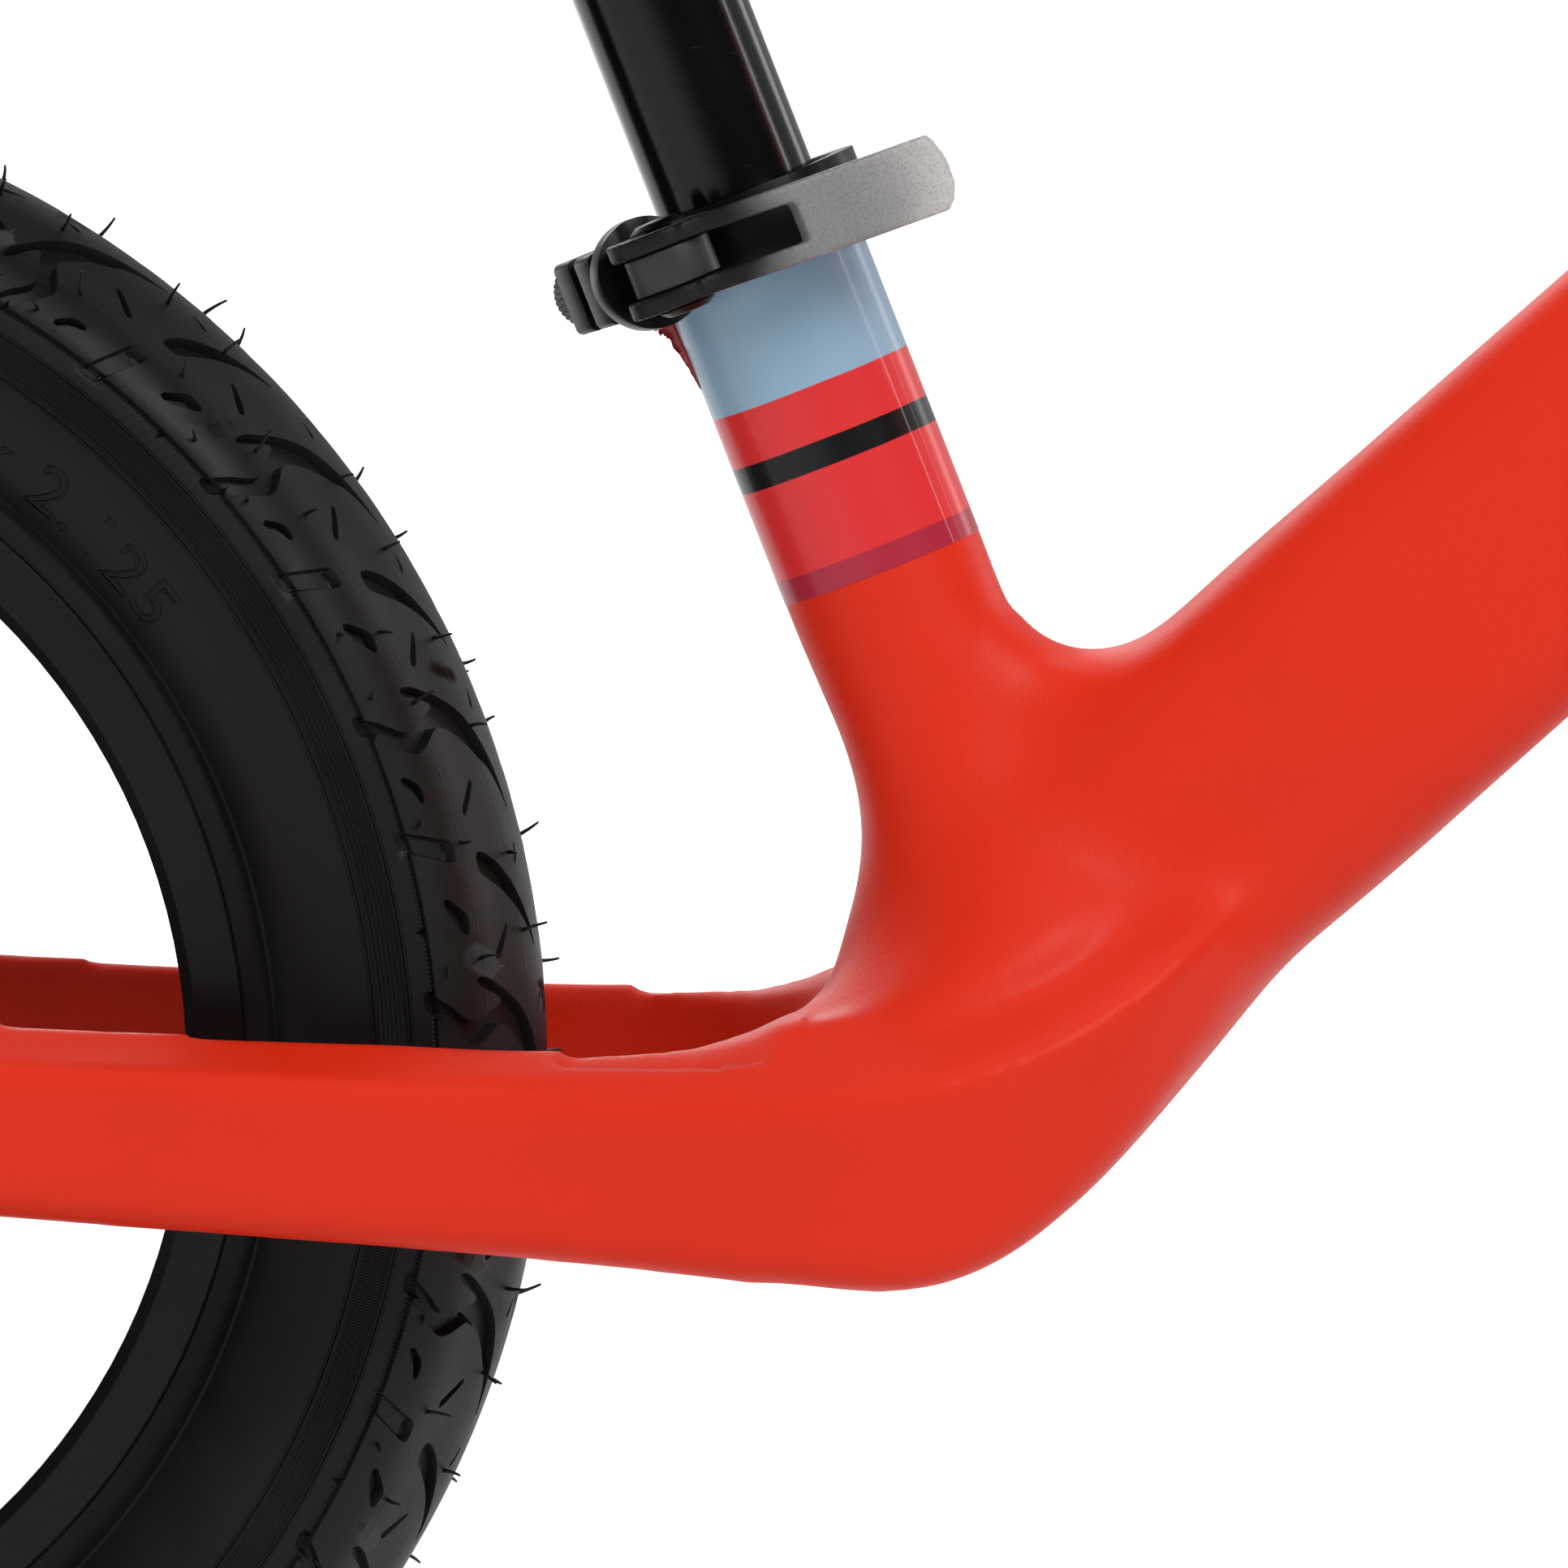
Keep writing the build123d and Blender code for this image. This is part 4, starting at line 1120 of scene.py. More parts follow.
    def horn_share(self, points: np.ndarray) -> np.ndarray:
        """How deeply the stays' roots are smoothed, from 0 to 1.

        Args:
            points: The skin's points.

        Returns:
            One share for each point.
        """
        behind = np.abs(points[:, 0] - (self.junction().x - self.horn)) / self.horn_reach
        share = np.clip(1.5 - behind, 0, 1)
        return soft_ends(share) * (points[:, 2] > self.junction().z - self.horn_depth)

    def junction_share(self, points: np.ndarray) -> np.ndarray:
        """How deeply each point is smoothed, from 0 to 1.

        Args:
            points: The skin's points.

        Returns:
            One share for each point.
        """
        reach = np.linalg.norm(points - np.array(self.junction()), axis=1)
        share = np.clip((self.junction_reach + self.junction_fade - reach) / self.junction_fade, 0, 1)
        near, far = self.inner_side
        side = np.clip((far - np.abs(points[:, 1])) / (far - near), 0, 1)
        return soft_ends(share) * (self.outer_share + (1 - self.outer_share) * soft_ends(side))


# --- seat tube and clamp


@dataclass(frozen=True)
class Stripe:
    """One printed stripe of the film round the seat tube, by its lower edge from the clamp's middle."""

    foot: float
    colour: tuple


@dataclass
class TubeFilm:
    """Clear film printed with stripes, wrapped round the seat tube under the clamp."""

    radius: float = 15.9 * MM
    thickness: float = 0.11 * MM
    head: float = -4.0 * MM
    stripes: tuple = (
        Stripe(-25.29 * MM, (148, 180, 204)),
        Stripe(-33.5 * MM, (226, 48, 50)),
        Stripe(-37.61 * MM, (12, 9, 10)),
        Stripe(-51.89 * MM, (226, 48, 50)),
        Stripe(-55.75 * MM, (176, 38, 62)),
    )
    edge: float = 0.12 * MM
    seams: tuple = (0.955, 1.09)
    torn: tuple = (
        (-1.46, -5.0, 12.5, 3.0, 1.15), (-1.50, -7.0, 6.0, 3.6, 1.35), (-1.30, -13.0, 7.0, 1.1, 0.9),
    )

    def material(self) -> Material:
        """Makes the printed film.

        Returns:
            The material.
        """
        s = Surface("tube_film")
        line = seat_line()
        place = s.place()
        along = s.along(place, tuple(line.origin), tuple(line.axis))
        along = along + (s.noise(place, 90, 2) - 0.5) * 0.00022
        frame_axes = line.matrix()
        front = s.along(place, tuple(line.origin), tuple(frame_axes.col[0][:3]))
        across = s.along(place, tuple(line.origin), tuple(frame_axes.col[1][:3]))
        angle = front.maths("ARCTAN2", across * -1.0)
        colour: tuple | Value = tone(*self.stripes[-1].colour)
        for stripe in self.stripes[-2::-1]:
            colour = s.blend(along.step(stripe.foot, self.edge), colour, tone(*stripe.colour))
        lines = angle.between(self.seams[0] - 0.01, self.seams[0] + 0.01, 0.008)
        lines = lines + angle.between(self.seams[1] - 0.006, self.seams[1] + 0.006, 0.006) * 0.7
        colour = s.blend(lines * 0.17, colour, tone(245, 235, 232))
        bubbles = s.noise(place, 420, 2).step(0.74, 0.05)
        crease = s.noise(place, 160, 3, (1, 1, 0.25))
        height = bubbles * 0.3 + crease * 0.5 + lines * 0.6
        return s.close({
            "Base Color": colour,
            "Roughness": 0.34 + (crease - 0.5) * 0.12,
            "Coat Weight": 0.25,
            "Coat Roughness": 0.1,
            "Normal": s.bump(height, 0.00006),
            "Specular IOR Level": 0.25,
        })

    def build(self) -> None:
        """Adds the film and its torn ends."""
        film = self.material()
        line = seat_line()
        outer = self.radius + self.thickness
        inner = self.radius - 0.3 * MM
        foot = self.stripes[-1].foot
        profile = [(inner, foot), (outer - 0.04 * MM, foot), (outer, foot + 0.05 * MM)]
        count = 24
        profile += [(outer, foot + (self.head - foot) * k / count) for k in range(1, count + 1)]
        profile += [(inner, self.head)]
        band = new_piece("tube_film", turned("tube_film", profile, 160, line.matrix(), loop=True), film)
        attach(band, "chassis")
        flaps = new_piece("tube_film_flaps", self.flaps(line), self.backing())
        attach(flaps, "chassis")

    def backing(self) -> Material:
        """The red underside of the torn film.

        Returns:
            The material.
        """
        s = Surface("film_backing")
        place = s.place()
        colour = s.blend(s.noise(place, 260, 3), tone(196, 30, 32), tone(120, 22, 30))
        return s.close({"Base Color": colour, "Roughness": 0.35 + s.noise(place, 500, 2) * 0.1,
                        "Coat Weight": 0.5, "Coat Roughness": 0.1})

    def flaps(self, line: Line) -> Mesh:
        """Torn ends of the film that stand off the tube behind, under the clamp.

        Args:
            line: The seat tube's axis.

        Returns:
            The sheets' mesh, in place.
        """
        points, faces = [], []
        rows, columns = 14, 6
        for root, top, drop, width, curl in self.torn:
            start = len(points)
            for k in range(rows + 1):
                share = k / rows
                reach = width * (1 - share) ** 0.75 * (1 + 0.12 * math.sin(23 * share)) + 0.15
                for c in range(columns + 1):
                    out = reach * c / columns
                    bend = curl * (0.35 + 0.65 * c / columns)
                    radial = self.radius / MM + 0.1 + out * math.sin(bend)
                    turn = root - out * math.cos(bend) / radial
                    height = top - drop * share - 0.5 * out * (1 - share) + 0.25 * math.sin(31 * share + c)
                    points.append((radial * math.sin(turn), -radial * math.cos(turn), height))
            wide = columns + 1
            for k in range(rows):
                for c in range(columns):
                    a = start + k * wide + c
                    faces.append((a, a + 1, a + wide + 1, a + wide))
        sheet = new_piece("film_flaps", mesh_of("film_flaps", np.array(points) * MM, faces))
        solid = sheet.modifiers.new("thickness", "SOLIDIFY")
        solid.thickness = self.thickness
        solid.offset = 0
        freeze(sheet)
        mesh = sheet.data
        bpy.data.objects.remove(sheet)
        mesh.transform(line.matrix())
        outward(mesh)
        mesh.shade_smooth()
        mesh.set_sharp_from_angle(angle=math.radians(50))
        return mesh


@dataclass(frozen=True)
class BlastedLever:
    """The clamp lever's finish: grey and bead blasted on the arm, black round the hinge, and lightened towards the
    tip by a painted sheen.
    """

    name: str = "lever_metal"
    dark: tuple = (22, 22, 23)
    # Near white of the painted sheen at the arm's tip.
    middle: tuple = (134, 134, 134)
    painted_sheen: tuple = (222, 221, 219)
    dark_reach: float = 18 * MM
    fade: float = 9 * MM
    # Where the painted sheen begins along the arm, and how softly it rises.
    sheen_reach: float = 40 * MM
    sheen_fade: float = 24 * MM

    def material(self) -> Material:
        """Makes the finish.

        Returns:
            The material.
        """
        s = Surface(self.name)
        pivot = Vector(JOINTS["lever_swing"]["pos_m"])
        place = s.place()
        away = s.value("ShaderNodeVectorMath", {"operation": "DISTANCE"},
                       {0: place, 1: tuple(pivot)}, "Value")
        cloud = s.noise(place, 90, 4)
        away = away + (cloud - 0.5) * 0.006
        arm = away.step(self.dark_reach, self.fade)
        # How much painted sheen each point gets, rising towards the tip.
        far = away.step(self.sheen_reach, self.sheen_fade)
        grit = s.noise(place, 2600, 2)
        fleck = s.noise(place, 2100, 2).step(0.58, 0.3)
        # Painted sheen: the arm's grey, partly its own blasted finish, lightens to near white towards the tip.
        colour = s.blend(far, tone(*self.middle), tone(*self.painted_sheen))
        colour = s.blend(fleck * 0.3, colour, tone(92, 92, 94))
        colour = s.blend(arm, tone(*self.dark), colour)
        return s.close({
            "Base Color": colour,
            "Metallic": 0.15,
            "Roughness": 0.46 + (cloud - 0.5) * 0.12 + (grit - 0.5) * 0.14,
            "Normal": s.bump(grit + fleck * 0.4, 0.00005),
            "Specular IOR Level": 0.3,
        })


@dataclass
class QuickRelease:
    """The clamp that holds the seat post: collar, lever, cam pin, washer, bolt and nut."""

    ease: float = 0.4 * MM
    voxel: float = 0.45 * MM
    droop: float = 0.042
    tip_reach: float = 10 * MM
    tip_crown: float = 0.1 * MM
    foot_corner: float = 1.1 * MM
    head_corner: float = 0.1 * MM
    nut_radius: float = 5.5 * MM
    nut_knurls: int = 36

    def build(self, finishes: dict[str, Material]) -> None:
        """Replaces the clamp's solids by the same shapes with worn edges.

        Args:
            finishes: Each slot's finish.
        """
        black = finishes["black_metal"]
        eye = Enamel("eye_black", (56, 56, 58), 0.42, 0.05).material()
        washer = Enamel("washer_black", (8, 8, 9), 0.36, 0.1, specular=0.2).material()
        pieces = (
            (eased_copy("seat_collar", self.ease, black), "chassis", "black_metal", "seat_collar"),
            (self.lever(BlastedLever().material()), "clamp_lever", "aluminium", "qr_lever"),
            (eased_copy("qr_pin", self.ease * 0.6, black), "chassis", "black_metal", "qr_pin"),
            (eased_copy("qr_bolt", self.ease * 3, eye), "chassis", "steel", "qr_bolt"),
            (eased_copy("qr_pad", self.ease, washer), "chassis", "black_metal", "qr_pad"),
            (self.nut(black), "clamp_nut", "black_metal", "qr_nut"),
        )
        for piece, body, slot, node in pieces:
            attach(piece, body)
            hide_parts(node)
            log.info("%s: %d faces", piece.name, len(piece.data.polygons))

    def lever(self, finish: Material) -> Object:
        """The lever with its arm a little lower at the end and a crowned tip.

        Args:
            finish: The lever's finish.

        Returns:
            The piece.
        """
        piece = new_piece("qr_lever_dressed", mesh_from(merged_copy("qr_lever"), "lever"), finish)
        FrameSkin.remesh(piece, self.voxel)
        mesh = piece.data
        points = low_pass(points_of(mesh), edges_of(mesh), 3)
        axis = np.array(seat_line().axis)
        pivot = np.array(JOINTS["lever_swing"]["pos_m"])
        height = (points - pivot) @ axis
        flat = points - pivot - height[:, None] * axis
        reach = np.linalg.norm(flat, axis=1)
        tip = flat[reach > reach.max() - 2 * MM].mean(0)
        out = tip / np.linalg.norm(tip)
        along = flat @ out
        half = height[along > along.max() - 12 * MM].max()
        side = np.clip(height / half, -1, 1)
        near = np.clip((along - along.max() + self.tip_reach) / self.tip_reach, 0, 1) ** 2
        push = self.tip_crown * (1 - side ** 2)
        push -= self.foot_corner * np.clip((-side - 0.45) / 0.55, 0, 1) ** 2
        push -= self.head_corner * np.clip((side - 0.6) / 0.4, 0, 1) ** 2
        points += out * (near * push)[:, None]
        sink = self.droop * np.clip(along - 4 * MM, 0, None)
        points -= axis * sink[:, None]
        move_points(mesh, points)
        finish_in(mesh, finish)
        shade(piece, 50)
        return piece

    def nut(self, finish: Material) -> Object:
        """The round nut: a barrel with fine straight knurls, grown by geometry nodes.

        Args:
            finish: The nut's finish.

        Returns:
            The piece.
        """
        low_end, high_end, line = self.nut_line()
        long = high_end - low_end
        r = self.nut_radius
        bore = 2.3 * MM
        profile = [(bore, 0), (r - 0.7 * MM, 0), (r - 0.3 * MM, 0.3 * MM), (r - 0.3 * MM, long - 0.6 * MM),
                   (r - 0.9 * MM, long), (bore, long)]
        body = turned("qr_nut", profile, 72, line.matrix(), loop=True)
        ridges = new_piece("nut_ridges", bpy.data.meshes.new("nut_ridges"))
        g = Growth("nut_ridges")
        count = g.takes("Knurls", self.nut_knurls)
        radius = g.takes("Radius", r - 0.3 * MM)
        length = g.takes("Length", long - 1.6 * MM)
        middle = g.takes("Middle", long / 2 - 0.2 * MM)
        metal = g.takes("Metal", finish)
        ring = g.value("GeometryNodeMeshCircle", None, {"Vertices": count, "Radius": radius})
        turn = g.value("GeometryNodeInputNormal")
        facing = g.value("FunctionNodeAlignRotationToVector", {"axis": "X"}, {"Vector": turn})
        bar = g.value("GeometryNodeMeshCube", None, {
            "Size": g.vector(0.5 * MM, 0.55 * MM, length),
            "Vertices X": 2, "Vertices Y": 2, "Vertices Z": 2})
        laid = g.value("GeometryNodeInstanceOnPoints", None, {
            "Points": ring, "Instance": bar, "Rotation": facing})
        lifted = g.value("GeometryNodeTransform", None, {
            "Geometry": laid, "Translation": g.vector(0.0, 0.0, middle)})
        g.end(lifted, metal)
        g.grow(ridges)
        knurls = ridges.data
        bpy.data.objects.remove(ridges)
        knurls.transform(line.matrix())
        return new_piece("qr_nut_dressed", joined("qr_nut", body, knurls), finish)

    @staticmethod
    def nut_line() -> tuple[float, float, Line]:
        """The nut's two ends along its own axis.

        Returns:
            Both ends' places, and the axis.
        """
        joint = JOINTS["nut_turn"]
        axis = Vector(joint["axis"]).normalized()
        pos = Vector(joint["pos_m"])
        along = [(v.co - pos).dot(axis) for v in frame["nodes"]["qr_nut"].data.vertices]
        low_end, high_end = min(along), max(along)
        return low_end, high_end, Line(pos + axis * low_end, axis)


# --- tyre


@dataclass(frozen=True)
class Groove:
    """One sunk shape of the tread: its outline on the flat tile and its depth, in millimetres."""

    outline: tuple
    depth: float
    rounds: int = 1
    wall: float = 0.35

    def loop(self, spacing: float = 0.9) -> np.ndarray:
        """The outline with its corners rounded, as evenly spaced points.

        Args:
            spacing: The distance between them.

        Returns:
            The points.
        """
        points = np.array(self.outline, float)
        for _ in range(self.rounds):
            after = np.roll(points, -1, axis=0)
            points = np.stack([0.75 * points + 0.25 * after, 0.25 * points + 0.75 * after], 1).reshape(-1, 2)
        closed = np.vstack([points, points[:1]])
        length = np.concatenate([[0], np.cumsum(np.linalg.norm(np.diff(closed, axis=0), axis=1))])
        count = max(8, int(length[-1] / spacing))
        at = np.linspace(0, length[-1], count, endpoint=False)
        return np.stack([np.interp(at, length, closed[:, k]) for k in range(2)], 1)


def inset(loop: np.ndarray, reach: float) -> np.ndarray:
    """A loop drawn in by a distance.

    Args:
        loop: Points of a closed outline.
        reach: How far each point moves inwards.

    Returns:
        The moved points.
    """
    before, after = np.roll(loop, 1, axis=0), np.roll(loop, -1, axis=0)
    run = after - before
    normal = np.stack([-run[:, 1], run[:, 0]], 1)
    normal /= np.maximum(np.linalg.norm(normal, axis=1, keepdims=True), 1e-9)
    area = np.sum(loop[:, 0] * after[:, 1] - after[:, 0] * loop[:, 1])
    return loop + normal * reach * (1 if area > 0 else -1)


def inside(points: np.ndarray, loop: np.ndarray) -> np.ndarray:
    """Which points lie inside a closed outline.

    Args:
        points: Flat points.
        loop: The outline's points.

    Returns:
        One truth for each point.
    """
    x, y = points[:, 0:1], points[:, 1:2]
    x0, y0 = loop[:, 0], loop[:, 1]
    x1, y1 = np.roll(x0, -1), np.roll(y0, -1)
    crosses = (y0 > y) != (y1 > y)
    at = x0 + (y - y0) * (x1 - x0) / np.where(y1 == y0, 1e-12, y1 - y0)
    return (np.sum(crosses & (x < at), axis=1) % 2) == 1


def distance(points: np.ndarray, loop: np.ndarray) -> np.ndarray:
    """Each point's distance from a closed outline.

    Args:
        points: Flat points.
        loop: The outline's points.

    Returns:
        One distance for each point.
    """
    start, run = loop, np.roll(loop, -1, axis=0) - loop
    best = np.full(len(points), 1e9)
    for a, d in zip(start, run):
        share = np.clip(((points - a) @ d) / max(d @ d, 1e-12), 0, 1)
        best = np.minimum(best, np.linalg.norm(points - a - share[:, None] * d, axis=1))
    return best


class Band(Enum):
    """Heights of the rings that run round the tyre's side, in millimetres from the crown."""

    LAND = 28.75
    STEP = 29.7
    SMOOTH = 31.5


@dataclass
class Tyre:
    """The air tyre: a moulded tread of repeated tiles, sidewalls, bead and mould whiskers."""

    radius: float = 151.0
    tiles: int = 20
    steps: int = 16
    swell: float = 0.02
    swell_from: float = 15.0
    first_tile: float = 22.06
    lattice: float = 2.3
    profile: tuple = (
        (0, 151.0, 0.0), (3, 150.74, 3.06), (6, 149.98, 5.96), (10, 148.41, 9.63), (14, 146.69, 13.24),
        (18, 145.1, 16.91), (22, 143.11, 20.38), (26, 140.18, 23.06), (28.75, 137.75, 24.22),
        (29.7, 137.05, 23.4), (31.5, 135.5, 23.98), (34, 133.08, 24.63), (38, 129.11, 25.0),
        (42, 125.12, 24.9), (46, 121.19, 24.17), (50, 117.46, 22.75), (54, 114.14, 20.53),
        (57, 112.06, 18.38), (60.3, 110.2, 15.6),
    )
    inner: tuple = (
        (109.3, 14.95), (107.0, 14.55), (104.5, 14.3), (102.3, 14.1), (101.9, 13.4), (101.9, 10.6),
        (103.0, 9.7), (106.5, 10.4), (110.0, 13.2), (114.0, 17.2), (119.0, 20.0), (125.0, 21.4),
        (131.0, 20.8), (136.0, 17.6), (139.6, 13.0), (141.8, 6.5), (142.4, 0.0),
    )
    border: tuple = (
        (14.8, -31.5), (14.5, -29.7), (14.3, -28.75), (14.1, -27.4), (10.7, -23.1), (6.5, -16.4),
        (5.7, -9.5), (2.9, -4.1), (0.0, 0.0),
    )
    grooves: tuple = (
        Groove(((6.7, -2.9), (10.6, -3.6), (14.1, -5.0), (17.5, -6.8), (20.6, -8.9), (22.8, -11.0),
                (24.4, -13.4), (25.0, -15.1), (24.4, -15.9), (22.8, -16.1), (21.3, -15.7), (19.9, -13.3),
                (17.9, -10.6), (15.3, -7.9), (12.2, -5.6), (9.4, -4.0)), 1.8, 2),
        Groove(((53.0, -31.2), (49.5, -26.6), (46.5, -23.5), (46.3, -21.6), (46.9, -19.5), (47.9, -17.0),
                (48.5, -14.5), (49.9, -16.2), (51.4, -19.9), (52.4, -21.2), (53.3, -20.8), (53.1, -18.7),
                (51.4, -15.4), (49.3, -12.0), (46.5, -8.8), (43.2, -6.6), (39.1, -4.9), (35.0, -3.9),
                (31.0, -3.4), (26.1, -2.8), (30.2, -3.7), (33.8, -4.9), (36.7, -6.2), (38.3, -7.9),
                (41.0, -9.7), (43.8, -12.4), (45.0, -14.5), (45.2, -16.4), (43.8, -18.7), (42.7, -21.0),
                (42.5, -22.9), (44.2, -25.1), (46.9, -28.1), (48.7, -30.6), (48.8, -31.2)), 1.8),
        Groove(((32.3, -31.2), (32.2, -30.8), (30.6, -27.4), (29.1, -24.3), (28.0, -21.4), (27.4, -21.0),
                (24.9, -21.0), (24.3, -21.6), (24.7, -22.9), (26.1, -25.8), (27.2, -27.9), (28.1, -30.4),
                (28.5, -31.2)), 1.0, 0),
        Groove(((24.7, -23.1), (27.9, -23.1), (27.6, -21.5), (27.2, -21.3), (25.0, -21.3), (24.6, -21.8)),
               1.8, 0),
        Groove(((12.4, -21.9), (13.0, -22.6), (14.7, -23.6), (16.3, -24.7), (18.1, -25.3), (19.2, -25.1),
                (19.2, -24.5), (18.3, -23.6), (17.1, -22.4), (16.1, -21.3), (15.3, -20.9), (14.1, -21.0),
                (12.6, -21.4)), 1.9),
        Groove(((34.6, -24.5), (35.5, -25.0), (36.9, -25.3), (37.7, -25.8), (38.6, -26.7), (39.5, -27.0),
                (40.2, -26.7), (40.1, -26.1), (39.3, -25.4), (38.5, -24.5), (37.7, -24.0), (36.5, -23.9),
                (35.1, -24.0)), 1.9),
        Groove(((7.6, -14.5), (7.8, -15.1), (8.4, -15.4), (9.0, -15.0), (10.7, -13.3), (13.0, -11.1),
                (12.7, -10.8), (12.1, -10.9), (9.8, -12.5), (8.2, -13.6)), 1.3),
        Groove(((30.6, -15.9), (30.9, -16.4), (31.6, -16.5), (32.4, -15.8), (34.0, -13.9), (35.9, -12.0),
                (35.9, -11.5), (35.1, -11.5), (33.2, -13.1), (31.4, -14.9)), 1.3),
        Groove(((21.0, -5.4), (21.8, -5.7), (22.8, -5.0), (24.7, -4.3), (24.2, -4.0), (22.6, -4.3),
                (21.4, -4.9)), 0.8, 0),
        Groove(((45.4, -4.2), (46.3, -4.6), (47.3, -3.9), (49.1, -3.2), (48.7, -2.9), (47.1, -3.2),
                (45.8, -3.7)), 0.8, 0),
    )
    ribs: tuple = ((33.3, 0.22), (33.85, 0.22), (38.75, 0.22), (39.3, 0.22), (57.4, 0.45))
    rib_half: float = 0.16
    whisker_rows: tuple = ((6.5, 56, 11), (19.0, 52, 12), (26.4, 46, 13))
    whisker_lengths: tuple = (2.0 * MM, 4.6 * MM)
    whisker_tip: float = 0.2 * MM
    whisker_root: float = 0.36 * MM
    whisker_bend: float = 0.6 * MM
    figures: tuple = (
        ("12 x 2.125", 36.6, -1), ("62-203", -62.0, -1), ("12 x 2.125", 216.6, -1),
        ("12 x 2.125", 36.6, 1), ("62-203", 216.6, 1),
    )

    @property
    def pitch(self) -> float:
        """One tile's length round the crown."""
        return 2 * math.pi * self.radius / self.tiles

    def side(self, down: np.ndarray) -> tuple[np.ndarray, np.ndarray, np.ndarray, np.ndarray]:
        """The outer shape at distances from the crown.

        Args:
            down: Distances along the profile from the crown.

        Returns:
            Radius, half width, and the outward normal's two shares.
        """
        table = np.array(self.profile)
        t, r, y = table[:, 0], table[:, 1], table[:, 2]
        radius = self.smooth_curve(t, r, down)
        width = self.smooth_curve(t, y, down)
        step = 0.05
        dr = self.smooth_curve(t, r, down + step) - self.smooth_curve(t, r, np.maximum(down - step, 0))
        dy = self.smooth_curve(t, y, down + step) - self.smooth_curve(t, y, np.maximum(down - step, 0))
        length = np.maximum(np.hypot(dr, dy), 1e-9)
        return radius, width, dy / length, -dr / length

    @staticmethod
    def smooth_curve(at: np.ndarray, value: np.ndarray, where: np.ndarray) -> np.ndarray:
        """A curve through points that never overshoots them.

        Args:
            at: The points' places, rising.
            value: Their values.
            where: The places asked for.

        Returns:
            Its values at the places asked for.
        """
        gap = np.diff(at)
        slope = np.diff(value) / gap
        tangent = np.empty_like(value)
        tangent[0], tangent[-1] = slope[0], slope[-1]
        for i in range(1, len(value) - 1):
            before, after = slope[i - 1], slope[i]
            if before * after <= 0:
                tangent[i] = 0
            else:
                w0, w1 = 2 * gap[i] + gap[i - 1], gap[i] + 2 * gap[i - 1]
                tangent[i] = (w0 + w1) / (w0 / before + w1 / after)
        where = np.clip(where, at[0], at[-1])
        i = np.clip(np.searchsorted(at, where) - 1, 0, len(gap) - 1)
        h = gap[i]
        s = (where - at[i]) / h
        return (value[i] * (2 * s ** 3 - 3 * s ** 2 + 1) + value[i + 1] * (3 * s ** 2 - 2 * s ** 3)
                + h * tangent[i] * (s ** 3 - 2 * s ** 2 + s) + h * tangent[i + 1] * (s ** 3 - s ** 2))

    def tread_tile(self) -> tuple[np.ndarray, np.ndarray, list]:
        """One tile of half the tread, flat.

        Returns:
            Flat points, how far each is sunk, and the faces.
        """
        pitch, step = self.pitch, self.pitch / self.steps
        edge = np.array(self.border)
        dense = [edge[0]]
        for a, b in zip(edge[:-1], edge[1:]):
            count = max(1, int(np.linalg.norm(b - a) / self.lattice))
            dense += [a + (b - a) * k / count for k in range(1, count + 1)]
        left = np.array(dense)
        right = left + (pitch, 0)
        foot = np.array([(left[0, 0] + k * step, left[0, 1]) for k in range(1, self.steps)])
        crown = np.array([(left[-1, 0] + k * step, left[-1, 1]) for k in range(1, self.steps)])
        rim = np.vstack([left[::-1], foot, right, crown[::-1]])
        points, edges = [rim], [(k, (k + 1) % len(rim)) for k in range(len(rim))]
        count = len(rim)
        loops = [groove.loop() for groove in self.grooves]
        for groove, loop in zip(self.grooves, loops):
            for ring in (loop, inset(loop, groove.wall)):
                points.append(ring)
                edges += [(count + k, count + (k + 1) % len(ring)) for k in range(len(ring))]
                count += len(ring)
        for level in (Band.LAND.value, Band.STEP.value):
            start = np.interp(-level, edge[:, 1], edge[:, 0])
            row = np.array([(start + k * step / 2, -level) for k in range(2 * self.steps + 1)])
            ends = [int(np.argmin(np.linalg.norm(rim - row[k], axis=1))) for k in (0, -1)]
            points.append(row[1:-1])
            line = [ends[0], *range(count, count + len(row) - 2), ends[1]]
            edges += list(zip(line[:-1], line[1:]))
            count += len(row) - 2
        used = np.vstack(points)
        grid = []
        rows = int(32 / (self.lattice * 0.866))
        for j in range(1, rows):
            t = -j * self.lattice * 0.866
            for k in range(int(70 / self.lattice)):
                grid.append((k * self.lattice + (j % 2) * self.lattice / 2, t))
        grid = np.array(grid)
        grid = grid[inside(grid, rim) & (distance(grid, rim) > 0.9) & (grid[:, 1] > -Band.LAND.value + 0.5)]
        clear = np.array([np.min(np.linalg.norm(used - g, axis=1)) > 0.85 for g in grid])
        every = np.vstack([used, grid[clear]])
        made = delaunay_2d_cdt([Vector(p) for p in every], edges, [], 1, 1e-5, False)
        flat = np.array([tuple(p) for p in made[0]])
        sunk = np.zeros(len(flat))
        for groove, loop in zip(self.grooves, loops):
            held = inside(flat, loop)
            share = np.clip(distance(flat, loop) / groove.wall, 0, 1)
            sunk = np.maximum(sunk, np.where(held, groove.depth * share, 0))
        sunk *= np.interp(-flat[:, 1], (29.0, 30.4), (1.0, 0.2))
        faces = []
        for face in made[2]:
            a, b, c = (flat[i] for i in face[:3])
            turn = (b[0] - a[0]) * (c[1] - a[1]) - (b[1] - a[1]) * (c[0] - a[0])
            if abs(turn) > 1e-7:
                faces.append(tuple(face) if turn > 0 else tuple(reversed(face)))
        return flat, sunk, faces

